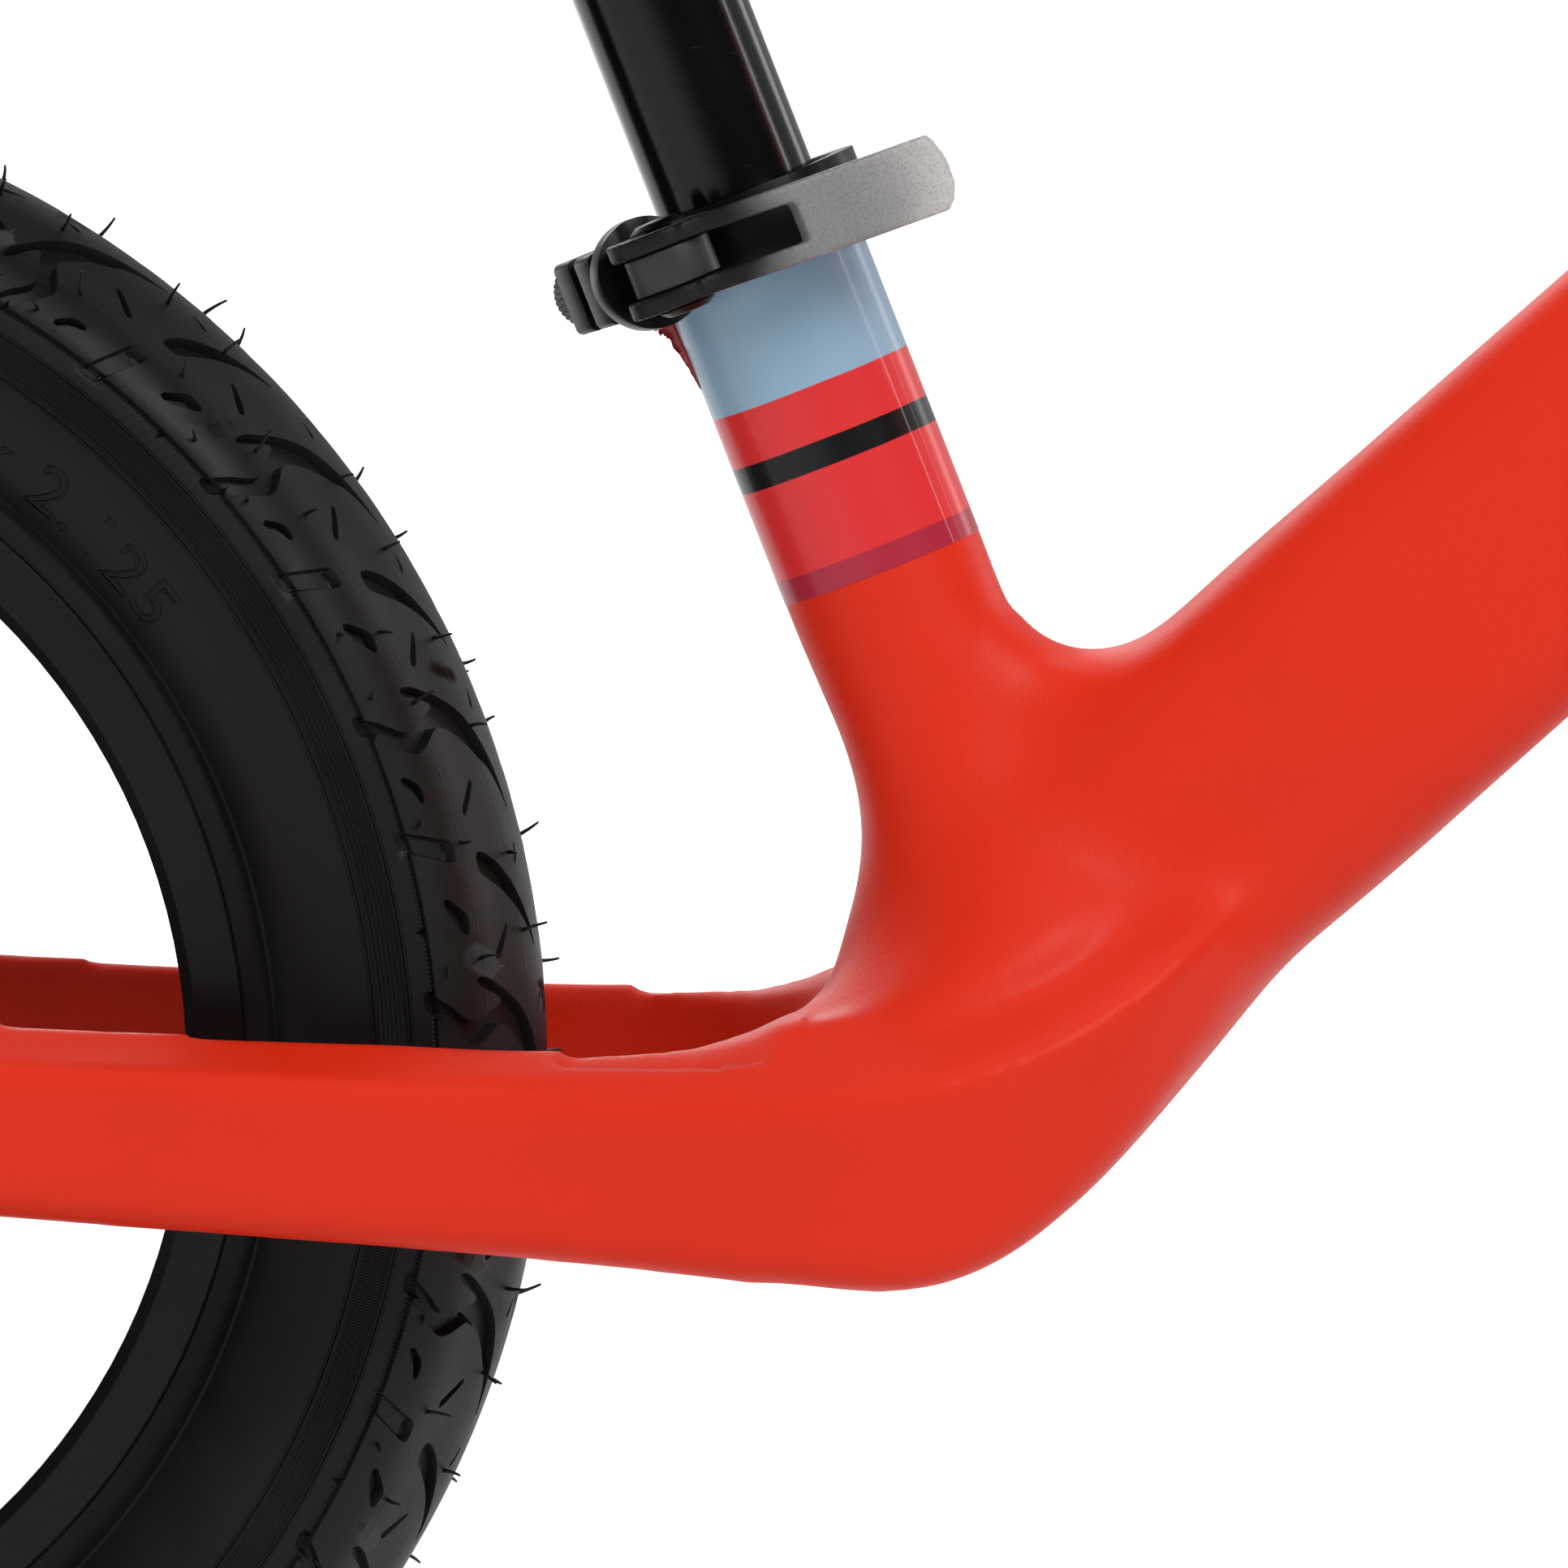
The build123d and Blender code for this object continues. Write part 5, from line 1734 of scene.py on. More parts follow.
    def wall_rows(self) -> list[tuple[float, float, float]]:
        """Flat place, radius and half width of each ring from the tread to the inner crown.

        Returns:
            Three numbers for each ring.
        """
        downs = set(np.round(np.linspace(Band.SMOOTH.value, 60.3, 22), 3))
        heights = {}
        for middle, height in self.ribs:
            downs -= {d for d in downs if abs(d - middle) < 2 * self.rib_half}
            for reach, share in ((-1.6, 0), (-0.6, 1), (0.6, 1), (1.6, 0)):
                down = round(middle + reach * self.rib_half, 4)
                downs.add(down)
                heights[down] = height * share
        ordered = np.array(sorted(downs))
        radius, width, nr, ny = self.side(ordered)
        rows = []
        for d, r, y, a, b in zip(ordered, radius, width, nr, ny):
            raised = heights.get(round(float(d), 4), 0.0)
            rows.append((-float(d), r + a * raised, y + b * raised))
        rows += [(-62.0 - 2 * k, r, y) for k, (r, y) in enumerate(self.inner)]
        return rows

    def tile(self) -> Object:
        """The whole flat tile as an object that carries its place on the profile.

        Returns:
            The tile.
        """
        flat, sunk, faces = self.tread_tile()
        radius, width, nr, ny = self.side(-flat[:, 1])
        prof_r = radius - nr * sunk
        prof_y = np.where(flat[:, 1] > -1e-4, 0.0, width - ny * sunk)
        points = [flat]
        count = len(flat)
        step = self.pitch / self.steps
        rows = self.wall_rows()
        start = self.border[0][0]
        for j, (t, r, y) in enumerate(rows):
            points.append(np.array([(start + k * step, t) for k in range(self.steps + 1)]))
            prof_r = np.concatenate([prof_r, np.full(self.steps + 1, r)])
            prof_y = np.concatenate([prof_y, np.full(self.steps + 1, y)])
            if j:
                for k in range(self.steps):
                    upper, lower = count + (j - 1) * (self.steps + 1) + k, count + j * (self.steps + 1) + k
                    faces.append((upper, lower, lower + 1, upper + 1))
        place = np.vstack(points)
        mesh = mesh_of("tread_tile", np.column_stack([place, np.zeros(len(place))]) * MM, faces)
        for name, values in (("prof_r", prof_r), ("prof_y", prof_y)):
            layer = mesh.attributes.new(name, "FLOAT", "POINT")
            layer.data.foreach_set("value", (values * MM).astype(np.float32))
        return new_piece("tread_tile", mesh)

    def angle(self, run: Value, radius: Value, swell: Value) -> Value:
        """The angle round the wheel of a distance round the crown.

        Args:
            run: The distance.
            radius: The crown's radius.
            swell: How far the tiles' spacing swells.

        Returns:
            The angle in radians.
        """
        first, phase = math.radians(self.first_tile), math.radians(self.swell_from)
        turn = run / radius + first
        return turn + swell * (turn - phase).maths("SINE")

    def wrap_tree(self, rubber: Material) -> Growth:
        """Geometry nodes that lay the tiles side by side, mirror them and bend them round the wheel.

        Args:
            rubber: The tyre's finish.

        Returns:
            The tree.
        """
        g = Growth("tyre_wrap")
        count = g.takes("Tiles", self.tiles)
        pitch = g.takes("Pitch", self.pitch * MM)
        radius = g.takes("Radius", self.radius * MM)
        swell = g.takes("Swell", self.swell)
        finish = g.takes("Rubber", rubber)
        one = g.value("GeometryNodeGeometryToInstance", None, {0: g.mesh()})
        halves = []
        for shift, scale in ((0.0, (1, 1, 1)), (0.5, (1, -1, 1))):
            line = g.value("GeometryNodeMeshLine", None, {
                "Count": count, "Start Location": g.vector(pitch * shift, 0.0, 0.0),
                "Offset": g.vector(pitch, 0.0, 0.0)})
            laid = g.value("GeometryNodeInstanceOnPoints", None, {
                "Points": line, "Instance": one, "Scale": scale})
            halves.append(g.value("GeometryNodeRealizeInstances", None, {"Geometry": laid}))
        both = g.value("GeometryNodeJoinGeometry", None, {"Geometry": halves})
        place = g.value("GeometryNodeInputPosition")
        run, across, _ = g.parts(place)
        mapped = g.value("GeometryNodeStoreNamedAttribute", {"data_type": "FLOAT2", "domain": "CORNER"}, {
            "Geometry": both, "Name": "UVMap", "Value": g.vector(run, across, 0.0)})
        around = self.angle(run, radius, swell)
        reach = g.value("GeometryNodeInputNamedAttribute", {"data_type": "FLOAT"}, {"Name": "prof_r"})
        width = g.value("GeometryNodeInputNamedAttribute", {"data_type": "FLOAT"}, {"Name": "prof_y"})
        bent = g.vector(reach * around.maths("COSINE"), width * across.maths("SIGN"),
                        reach * around.maths("SINE"))
        moved = g.value("GeometryNodeSetPosition", None, {"Geometry": mapped, "Position": bent})
        joined = g.value("GeometryNodeMergeByDistance", None, {"Geometry": moved, "Distance": 0.00002})
        g.end(joined, finish)
        return g

    def carcass(self, rubber: Material) -> Mesh:
        """The tyre's mesh round the wheel's own centre.

        Args:
            rubber: The tyre's finish.

        Returns:
            The mesh.
        """
        tile = self.tile()
        self.wrap_tree(rubber).grow(tile)
        mesh = tile.data
        bpy.data.objects.remove(tile)
        for name in ("prof_r", "prof_y"):
            if name in mesh.attributes:
                mesh.attributes.remove(mesh.attributes[name])
        outward(mesh, 0.02 * MM)
        mesh.shade_smooth()
        mesh.set_sharp_from_angle(angle=math.radians(34))
        return mesh

    def whisker_tree(self, rubber: Material, down: float, side: int, count: int,
                     seed: int) -> Growth:
        """Geometry nodes that stand mould whiskers along one ring of the tread.

        Args:
            rubber: Their finish.
            down: The ring's distance from the crown along the profile.
            side: Which half of the tread, -1 or 1.
            count: How many whiskers stand round the ring.
            seed: Fixes their leans and lengths.

        Returns:
            The tree.
        """
        radius, width, nr, ny = (float(v[0]) for v in self.side(np.array([down])))
        g = Growth("tyre_whiskers")
        number = g.takes("Whiskers", count)
        ring = g.takes("Ring Radius", radius * MM)
        across = g.takes("Ring Width", side * width * MM)
        out = g.takes("Normal Out", nr)
        over = g.takes("Normal Across", side * ny)
        roll = g.takes("Seed", seed)
        finish = g.takes("Rubber", rubber)
        line = g.value("GeometryNodeMeshLine", None, {"Count": number})
        index = g.value("GeometryNodeInputIndex")
        shift = g.value("FunctionNodeRandomValue", {"data_type": "FLOAT"}, {2: -0.28, 3: 0.28, 8: roll}, 1)
        paired = (index % 2 - 0.5) * 0.22
        around = (index + shift + paired) / number * (2 * math.pi)
        turn, rise = around.maths("COSINE"), around.maths("SINE")
        place = g.vector(ring * turn, across, ring * rise)
        sway = g.value("FunctionNodeRandomValue", {"data_type": "FLOAT_VECTOR"},
                       {0: (-0.42, -0.42, -0.42), 1: (0.42, 0.42, 0.42), 8: roll + 7}, 0)
        lean = g.value("ShaderNodeVectorMath", {"operation": "ADD"}, {
            0: g.vector(out * turn, over, out * rise), 1: sway})
        stood = g.value("GeometryNodeSetPosition", None, {"Geometry": line, "Position": place})
        spun = g.value("FunctionNodeRandomValue", {"data_type": "FLOAT"}, {2: 0.0, 3: 6.28, 8: roll + 3}, 1)
        aimed = g.value("FunctionNodeAlignRotationToVector", {"axis": "Z"}, {"Vector": lean})
        turned = g.value("FunctionNodeRotateRotation", {"rotation_space": "LOCAL"}, {
            "Rotation": aimed, "Rotate By": g.vector(0.0, 0.0, spun)})
        shortest, longest = self.whisker_lengths
        length = g.value("FunctionNodeRandomValue", {"data_type": "FLOAT"},
                         {2: shortest, 3: longest, 8: roll + 5}, 1)
        hair = g.value("GeometryNodeMeshCone", {"fill_type": "NGON"}, {
            "Vertices": 5, "Side Segments": 4, "Depth": 1.0,
            "Radius Top": self.whisker_tip, "Radius Bottom": self.whisker_root})
        x, y, z = g.parts(g.value("GeometryNodeInputPosition"))
        bent = g.vector(x + z * z * self.whisker_bend, y, z - 0.04)
        curved = g.value("GeometryNodeSetPosition", None, {"Geometry": hair, "Position": bent})
        planted = g.value("GeometryNodeInstanceOnPoints", None, {
            "Points": stood, "Instance": curved, "Rotation": turned, "Scale": g.vector(1.0, 1.0, length)})
        g.end(planted, finish)
        return g

    def whiskers(self, rubber: Material) -> Mesh:
        """All the mould whiskers round the wheel's own centre.

        Args:
            rubber: The tyre's finish.

        Returns:
            The mesh.
        """
        bm = bmesh.new()
        for down, count, seed in self.whisker_rows:
            for side in (-1, 1):
                piece = new_piece("whiskers", bpy.data.meshes.new("whiskers"))
                self.whisker_tree(rubber, down, side, count, seed + side).grow(piece)
                bm.from_mesh(piece.data)
                bpy.data.objects.remove(piece)
        mesh = mesh_from(bm, "whiskers")
        mesh.materials.append(rubber)
        mesh.shade_smooth()
        return mesh

    def marks(self, rubber: Material) -> Mesh:
        """Raised outlines of the tyre's size figures, on both sides.

        Args:
            rubber: The tyre's finish.

        Returns:
            The mesh.
        """
        bm = bmesh.new()
        for words, end, side in self.figures:
            bm.from_mesh(self.mark(words, end, side))
        mesh = mesh_from(bm, "marks")
        mesh.materials.append(rubber)
        mesh.shade_smooth()
        return mesh

    def mark(self, words: str, end: float, side: int, foot: float = 53.3,
             size: float = 12.0) -> Mesh:
        """One line of raised figures laid on the sidewall.

        Args:
            words: The figures.
            end: The angle round the wheel where they end, in degrees.
            side: Which side of the tyre, -1 or 1.
            foot: Their feet's distance from the crown.
            size: The letter size.

        Returns:
            Their mesh round the wheel's own centre.
        """
        curve = bpy.data.curves.new("mark", "FONT")
        curve.body = words
        curve.size = size
        curve.space_character = 1.12
        curve.fill_mode = "NONE"
        curve.bevel_depth = 0.24
        curve.bevel_resolution = 1
        curve.resolution_u = 4
        text = bpy.data.objects.new("mark", curve)
        bpy.context.scene.collection.objects.link(text)
        bpy.context.view_layer.update()
        mesh = bpy.data.meshes.new_from_object(text.evaluated_get(bpy.context.evaluated_depsgraph_get()))
        bpy.data.objects.remove(text)
        flat = points_of(mesh)
        radius, width, nr, ny = self.side(foot - flat[:, 1])
        raised = flat[:, 2] + 0.04
        middle = self.side(np.array([foot - size / 3]))[0][0]
        run = (flat[:, 0].max() - flat[:, 0]) / middle
        around = math.radians(end) + run if side < 0 else math.radians(end) - run
        reach = radius + nr * raised
        across = side * (width + ny * raised)
        move_points(mesh, np.column_stack([reach * np.cos(around), across, reach * np.sin(around)]) * MM)
        outward(mesh)
        return mesh


@dataclass(frozen=True)
class TyreRubber:
    """Moulded tyre rubber, with the fine textures that ring the sidewall."""

    name: str = "tyre_rubber"
    tread: tuple = (21, 21, 21)
    wall: tuple = (12, 12, 12)
    roughness: float = 0.5

    def material(self) -> Material:
        """Makes the rubber.

        Returns:
            The material.
        """
        s = Surface(self.name)
        run, across, _ = s.parts(s.wrap())
        down = across.maths("ABSOLUTE") * 1000
        run = run * 1000
        place = s.place()
        knurl = (run * 6.6 + down * 4.6).maths("SINE") * (run * 6.6 - down * 4.6).maths("SINE")
        knurled = down.between(34.2, 38.3, 0.15)
        stripes = (run * 8.2).maths("SINE") * down.between(28.7, 30.1, 0.1)
        seams = down.between(7.15, 7.45, 0.1) + down.between(18.95, 19.25, 0.1)
        height = knurl * knurled * 0.95 + stripes * 0.3 + seams * 0.35 + s.noise(place, 1300, 3) * 0.12
        on_wall = down.step(29.2, 0.4)
        dust = s.noise(place, 42, 5).step(0.52, 0.4)
        colour = s.blend(on_wall, tone(*self.tread), tone(*self.wall))
        colour = s.blend(dust * 0.35, colour, tone(30, 29, 29))
        rough = self.roughness + (dust - 0.5) * 0.14 + on_wall * 0.02 - knurled * 0.05
        return s.close({
            "Base Color": colour,
            "Roughness": rough,
            "Specular IOR Level": 0.25,
            "Normal": s.bump(height, 0.00028, 0.8),
        })


@dataclass
class AirTube:
    """The air tube inside a tyre, and the valve that comes through the rim."""

    slack: float = 0.88
    sleeve_radius: float = 4.4 * MM
    sleeve_length: float = 24 * MM
    thread_pitch: float = 0.794 * MM
    thread_depth: float = 0.35 * MM

    def ring(self) -> Mesh:
        """The tube round the wheel's own centre.

        Returns:
            The mesh.
        """
        low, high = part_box("rear_inner_tube")
        thick = (high.y - low.y) / 2
        middle = (high.z - low.z) / 2 - thick
        turn = np.linspace(0, 2 * math.pi, 24, endpoint=False)
        half = self.slack * thick
        profile = [(middle + half * math.cos(a), half * math.sin(a)) for a in turn]
        return turned("air_tube", profile, 96, Matrix.Rotation(math.pi / 2, 4, "X"), loop=True)

    def line(self, mount: dict) -> Matrix:
        """The valve's own frame: its tip's middle, with Z towards the hub."""
        return Line(Vector(mount["pos_m"]), Vector(mount["axis"])).matrix()

    def sleeve(self, mount: dict) -> Mesh:
        """The rubber sleeve of the valve, in place.

        Args:
            mount: The valve's mount.

        Returns:
            The mesh.
        """
        half, r = mount["dims"]["length_mm"] * MM / 2, self.sleeve_radius
        root = -half - self.sleeve_length
        profile = [(0, root), (r * 1.5, root), (r, -half - 4 * MM), (r, -half - 1.2 * MM),
                   (r * 0.94, -half - 0.3 * MM), (r * 0.8, -half), (0, -half)]
        return turned("valve_sleeve", profile, 40, self.line(mount))

    def tip(self, mount: dict) -> Mesh:
        """The threaded metal end of the valve, in place.

        Args:
            mount: The valve's mount.

        Returns:
            The mesh.
        """
        half, r = mount["dims"]["length_mm"] * MM / 2, mount["dims"]["r_mm"] * MM
        profile = [(0, -half - 1 * MM), (r * 0.9, -half - 1 * MM), (r * 0.9, -half + 0.6 * MM)]
        height = -half + 0.6 * MM
        while height < half - 1.6 * MM:
            profile += [(r - self.thread_depth, height), (r, height + self.thread_pitch * 0.45),
                        (r, height + self.thread_pitch * 0.55)]
            height += self.thread_pitch
        profile += [(r - self.thread_depth, height), (r - self.thread_depth, half - 0.4 * MM),
                    (r * 0.8, half), (r * 0.55, half), (r * 0.5, half - 1.5 * MM),
                    (r * 0.2, half - 1.5 * MM), (r * 0.2, half - 0.6 * MM), (0, half - 0.6 * MM)]
        return turned("valve_tip", profile, 40, self.line(mount))


@dataclass
class Wheel:
    """One wheel: its tyre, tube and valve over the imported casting."""

    name: str
    body: str
    spin: str
    turned: float = 0.0

    @property
    def centre(self) -> Vector:
        """The middle of the wheel."""
        return Vector(JOINTS[self.spin]["pos_m"])

    def placed(self, mesh: Mesh, label: str) -> Object:
        """A copy of a mesh round this wheel's centre, riding on the wheel.

        Args:
            mesh: The mesh to copy.
            label: The end of the piece's name.

        Returns:
            The piece.
        """
        copy = mesh.copy()
        copy.transform(Matrix.Translation(self.centre) @ Matrix.Rotation(self.turned, 4, "Y"))
        piece = new_piece(f"{self.name}_{label}", copy)
        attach(piece, self.body)
        return piece

    def build(self, carcass: Mesh, whiskers: Mesh, marks: Mesh,
              tube: Mesh) -> None:
        """Places the tyre's meshes and the tube on this wheel.

        Args:
            carcass: The tyre.
            whiskers: Its mould whiskers.
            marks: Its size figures.
            tube: The air tube.
        """
        tyre = self.placed(carcass, "tyre_tread")
        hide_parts(f"{self.name}_tyre")
        for mesh, label in ((whiskers, "tyre_whiskers"), (marks, "tyre_marks")):
            self.placed(mesh, label)
        inner = self.placed(tube, "air_tube")
        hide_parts(f"{self.name}_inner_tube")
        log.info("%s wheel: tyre %d faces", self.name, len(tyre.data.polygons))

    def valve(self, air: AirTube, rubber: Material, metal: Material) -> None:
        """Adds the valve's sleeve and threaded end.

        Args:
            air: The tube that the valve belongs to.
            rubber: The sleeve's finish.
            metal: The threaded end's finish.
        """
        mount = next(m for m in frame["record"]["mounts"] if m["name"] == f"{self.name}_valve")
        for mesh, label, finish, slot in (
            (air.sleeve(mount), "valve_sleeve", rubber, "butyl"),
            (air.tip(mount), "valve_tip", metal, "chrome"),
        ):
            piece = new_piece(f"{self.name}_{label}", mesh, finish)
            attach(piece, self.body)


# --- saddle and grips


@dataclass(frozen=True)
class Leatherette:
    """Padded vinyl with a fine grain and slight creases."""

    name: str = "saddle_vinyl"
    colour: tuple = (27, 27, 29)
    worn: tuple = (46, 46, 48)
    roughness: float = 0.52

    def material(self) -> Material:
        """Makes the vinyl.

        Returns:
            The material.
        """
        s = Surface(self.name)
        place = s.place()
        cells = s.value("ShaderNodeTexVoronoi", {"feature": "DISTANCE_TO_EDGE"},
                        {"Vector": place, "Scale": 620.0}, "Distance")
        grain = cells.step(0.12, 0.2)
        cloud = s.noise(place, 26, 4)
        crease = s.noise(place, 90, 3, (1, 0.4, 1))
        colour = s.blend(cloud.step(0.6, 0.3) * 0.5, tone(*self.colour), tone(*self.worn))
        return s.close({
            "Base Color": colour,
            "Roughness": self.roughness + (cloud - 0.5) * 0.16 - grain * 0.06,
            "Normal": s.bump(grain * 0.5 + crease * 0.8, 0.0003, 0.7),
            "Specular IOR Level": 0.4,
        })


@dataclass
class Saddle:
    """The padded seat: a stuffed cover with a piped foot and a seam stitched on both sides."""

    voxel: float = 4.5 * MM
    pressure: float = 4.0
    frames: int = 20
    cap: float = 5 * MM
    sections: tuple = (
        (0.0, 1.6), (0.12, 0.5), (0.32, 0.7), (0.55, 2.6), (0.74, 6.6), (0.88, 12.5), (0.95, 19.0),
    )
    pinned: float = 2.0 * MM
    piping: float = 1.4 * MM
    seam_inset: float = 13.0
    seam_depth: float = 1.0 * MM
    seam_half: float = 2.4 * MM
    stitch_rows: tuple = (10.4, 15.6)
    stitch_length: float = 3.2 * MM
    stitch_gap: float = 4.6 * MM
    stitch_radius: float = 0.3 * MM

    def build(self, finishes: dict[str, Material]) -> None:
        """Makes the cushion, its piping and its stitches.

        Args:
            finishes: Each slot's finish.
        """
        outline = self.outline()
        cushion = self.cushion(outline, Leatherette().material())
        pieces = [cushion, self.pipe(outline, finishes["grip_rubber"])]
        thread = Moulded("thread", (104, 104, 106), 0.7, 3000, 0.00004).material()
        for number, inset in enumerate(self.stitch_rows):
            row = self.laid(outline, inset, cushion)
            pieces.append(self.stitches(f"saddle_stitches_{number}", row, thread))
        for piece in pieces:
            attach(piece, "saddle_set")
        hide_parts("saddle_cushion")
        log.info("saddle cushion: %d faces", len(cushion.data.polygons))

    def outline(self, count: int = 240) -> np.ndarray:
        """The saddle's plan edge as evenly spaced points, counter-clockwise.

        Args:
            count: How many points.

        Returns:
            The points in plan.
        """
        low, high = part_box("saddle_cushion")
        bm = merged_copy("saddle_cushion")
        cut = bmesh.ops.bisect_plane(bm, geom=bm.verts[:] + bm.edges[:] + bm.faces[:],
                                     plane_co=(0, 0, low.z + 0.5 * MM), plane_no=(0, 0, 1))
        verts = [v for v in cut["geom_cut"] if isinstance(v, bmesh.types.BMVert)]
        spots = np.array([v.co[:2] for v in verts if v.co.y >= 0])
        bm.free()
        spots = spots[np.argsort(spots[:, 0])]
        half = (1 - np.cos(np.linspace(0, math.pi, count))) / 2
        x = low.x + (high.x - low.x) * half
        y = np.interp(x, spots[:, 0], spots[:, 1], 0, 0)
        loop = np.column_stack([np.r_[x, x[-2:0:-1]], np.r_[-y, y[-2:0:-1]]])
        step = np.linalg.norm(np.diff(np.vstack([loop, loop[:1]]), axis=0), axis=1)
        run = np.r_[0, np.cumsum(step)]
        at = np.linspace(0, run[-1], count, endpoint=False)
        closed = np.vstack([loop, loop[:1]])
        even = np.column_stack([np.interp(at, run, closed[:, k]) for k in range(2)])
        return evened(even, 6)

    @staticmethod
    def inset(outline: np.ndarray, reach: float) -> np.ndarray:
        """The outline drawn in by a distance in millimetres.

        Args:
            outline: The plan edge.
            reach: The distance.

        Returns:
            The moved points.
        """
        along = np.roll(outline, -1, 0) - np.roll(outline, 1, 0)
        along /= np.linalg.norm(along, axis=1, keepdims=True)
        inward = np.column_stack([-along[:, 1], along[:, 0]])
        return evened(outline + inward * reach * MM, int(reach))

    def cushion(self, outline: np.ndarray, vinyl: Material) -> Object:
        """The stuffed cover, swollen by cloth pressure, with its seam drawn in.

        Args:
            outline: The plan edge.
            vinyl: Its finish.

        Returns:
            The piece.
        """
        low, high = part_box("saddle_cushion")
        rings = []
        for share, reach in self.sections:
            ring = self.inset(outline, reach)
            rings.append(np.column_stack([ring, np.full(len(ring), low.z + share * (high.z - low.z))]))
        count = len(outline)
        faces = [tuple(range(count - 1, -1, -1)), tuple(range((len(rings) - 1) * count, len(rings) * count))]
        for r in range(len(rings) - 1):
            for k in range(count):
                n = (k + 1) % count
                faces.append((r * count + k, r * count + n, (r + 1) * count + n, (r + 1) * count + k))
        piece = new_piece("saddle_cushion_cover", mesh_of("cushion", np.vstack(rings), faces))
        FrameSkin.remesh(piece, self.voxel)
        before = points_of(piece.data)
        foot = piece.vertex_groups.new(name="foot")
        foot.add([int(k) for k in np.nonzero(before[:, 2] < low.z + self.pinned)[0]], 1.0, "REPLACE")
        cloth = piece.modifiers.new("stuffing", "CLOTH")
        cloth.settings.use_pressure = True
        cloth.settings.uniform_pressure_force = self.pressure
        cloth.settings.effector_weights.gravity = 0
        cloth.settings.vertex_group_mass = "foot"
        scene = bpy.context.scene
        for step in range(1, self.frames + 1):
            scene.frame_set(step)
        freeze(piece)
        scene.frame_set(1)
        piece.vertex_groups.clear()
        self.settle(piece, before, low.z)
        smooth = piece.modifiers.new("smooth", "SUBSURF")
        smooth.levels = smooth.render_levels = 2
        freeze(piece)
        self.draw_seam(piece.data, self.inset(outline, self.seam_inset), low.z + 0.4 * (high.z - low.z))
        finish_in(piece.data, vinyl)
        piece.data.shade_smooth()
        return piece

    def settle(self, piece: Object, before: np.ndarray, foot: float) -> None:
        """Caps how far the stuffing moved the cover and keeps its foot on the pan.

        Args:
            piece: The cover.
            before: Its points before the stuffing.
            foot: The pan's height.
        """
        move = points_of(piece.data) - before
        reach = np.linalg.norm(move, axis=1, keepdims=True)
        moved = before + move * np.minimum(1, self.cap / np.maximum(reach, 1e-9))
        moved = low_pass(moved, edges_of(piece.data), 3)
        moved[:, 2] = np.maximum(moved[:, 2], foot)
        move_points(piece.data, moved)

    def draw_seam(self, mesh: Mesh, line: np.ndarray, above: float) -> None:
        """Draws the cover in along the seam.

        Args:
            mesh: The cover's mesh.
            line: The seam in plan.
            above: Only points above this height move.
        """
        fine = np.vstack([line + (np.roll(line, -1, 0) - line) * share for share in (0.0, 0.5)])
        tree = KDTree(len(fine))
        for k, spot in enumerate(fine):
            tree.insert((spot[0], spot[1], 0), k)
        tree.balance()
        normals = [v.vector.copy() for v in mesh.vertex_normals]
        for vert, normal in zip(mesh.vertices, normals):
            if vert.co.z > above:
                away = tree.find((vert.co.x, vert.co.y, 0))[2]
                if away < self.seam_half:
                    vert.co -= normal * self.seam_depth * (1 - (away / self.seam_half) ** 2) ** 1.5
        mesh.update()

    def pipe(self, outline: np.ndarray, rubber: Material) -> Object:
        """A piped edge round the foot of the cushion, swept by geometry nodes.

        Args:
            outline: The plan edge.
            rubber: Its finish.

        Returns:
            The piece.
        """
        ring = self.inset(outline, 0.4)
        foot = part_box("saddle_cushion")[0].z + 0.3 * MM
        ring = np.column_stack([ring, np.full(len(ring), foot)])
        piece = new_piece("saddle_piping", self.loop_mesh("piping", ring))
        g = Growth("saddle_piping")
        radius = g.takes("Radius", self.piping)
        finish = g.takes("Rubber", rubber)
        line = g.value("GeometryNodeMeshToCurve", None, {0: g.mesh()})
        smooth = g.value("GeometryNodeResampleCurve", None, {"Curve": line, "Count": 260})
        round_wire = g.value("GeometryNodeCurvePrimitiveCircle", None, {"Resolution": 12, "Radius": radius})
        swept = g.value("GeometryNodeCurveToMesh", None, {"Curve": smooth, "Profile Curve": round_wire})
        g.end(swept, finish)
        g.grow(piece)
        outward(piece.data)
        piece.data.shade_smooth()
        return piece

    def laid(self, outline: np.ndarray, reach: float, cushion: Object) -> np.ndarray:
        """The outline drawn in and dropped onto the cushion.

        Args:
            outline: The plan edge.
            reach: How far it is drawn in, in millimetres.
            cushion: The cushion.

        Returns:
            Points on the cushion.
        """
        bpy.context.view_layer.update()
        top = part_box("saddle_cushion")[1].z + 0.05
        spots = []
        for x, y in self.inset(outline, reach):
            hit, place, normal, _ = cushion.ray_cast((x, y, top), (0, 0, -1))
            if hit:
                spots.append(place + normal * self.stitch_radius * 0.35)
        return np.array(spots)

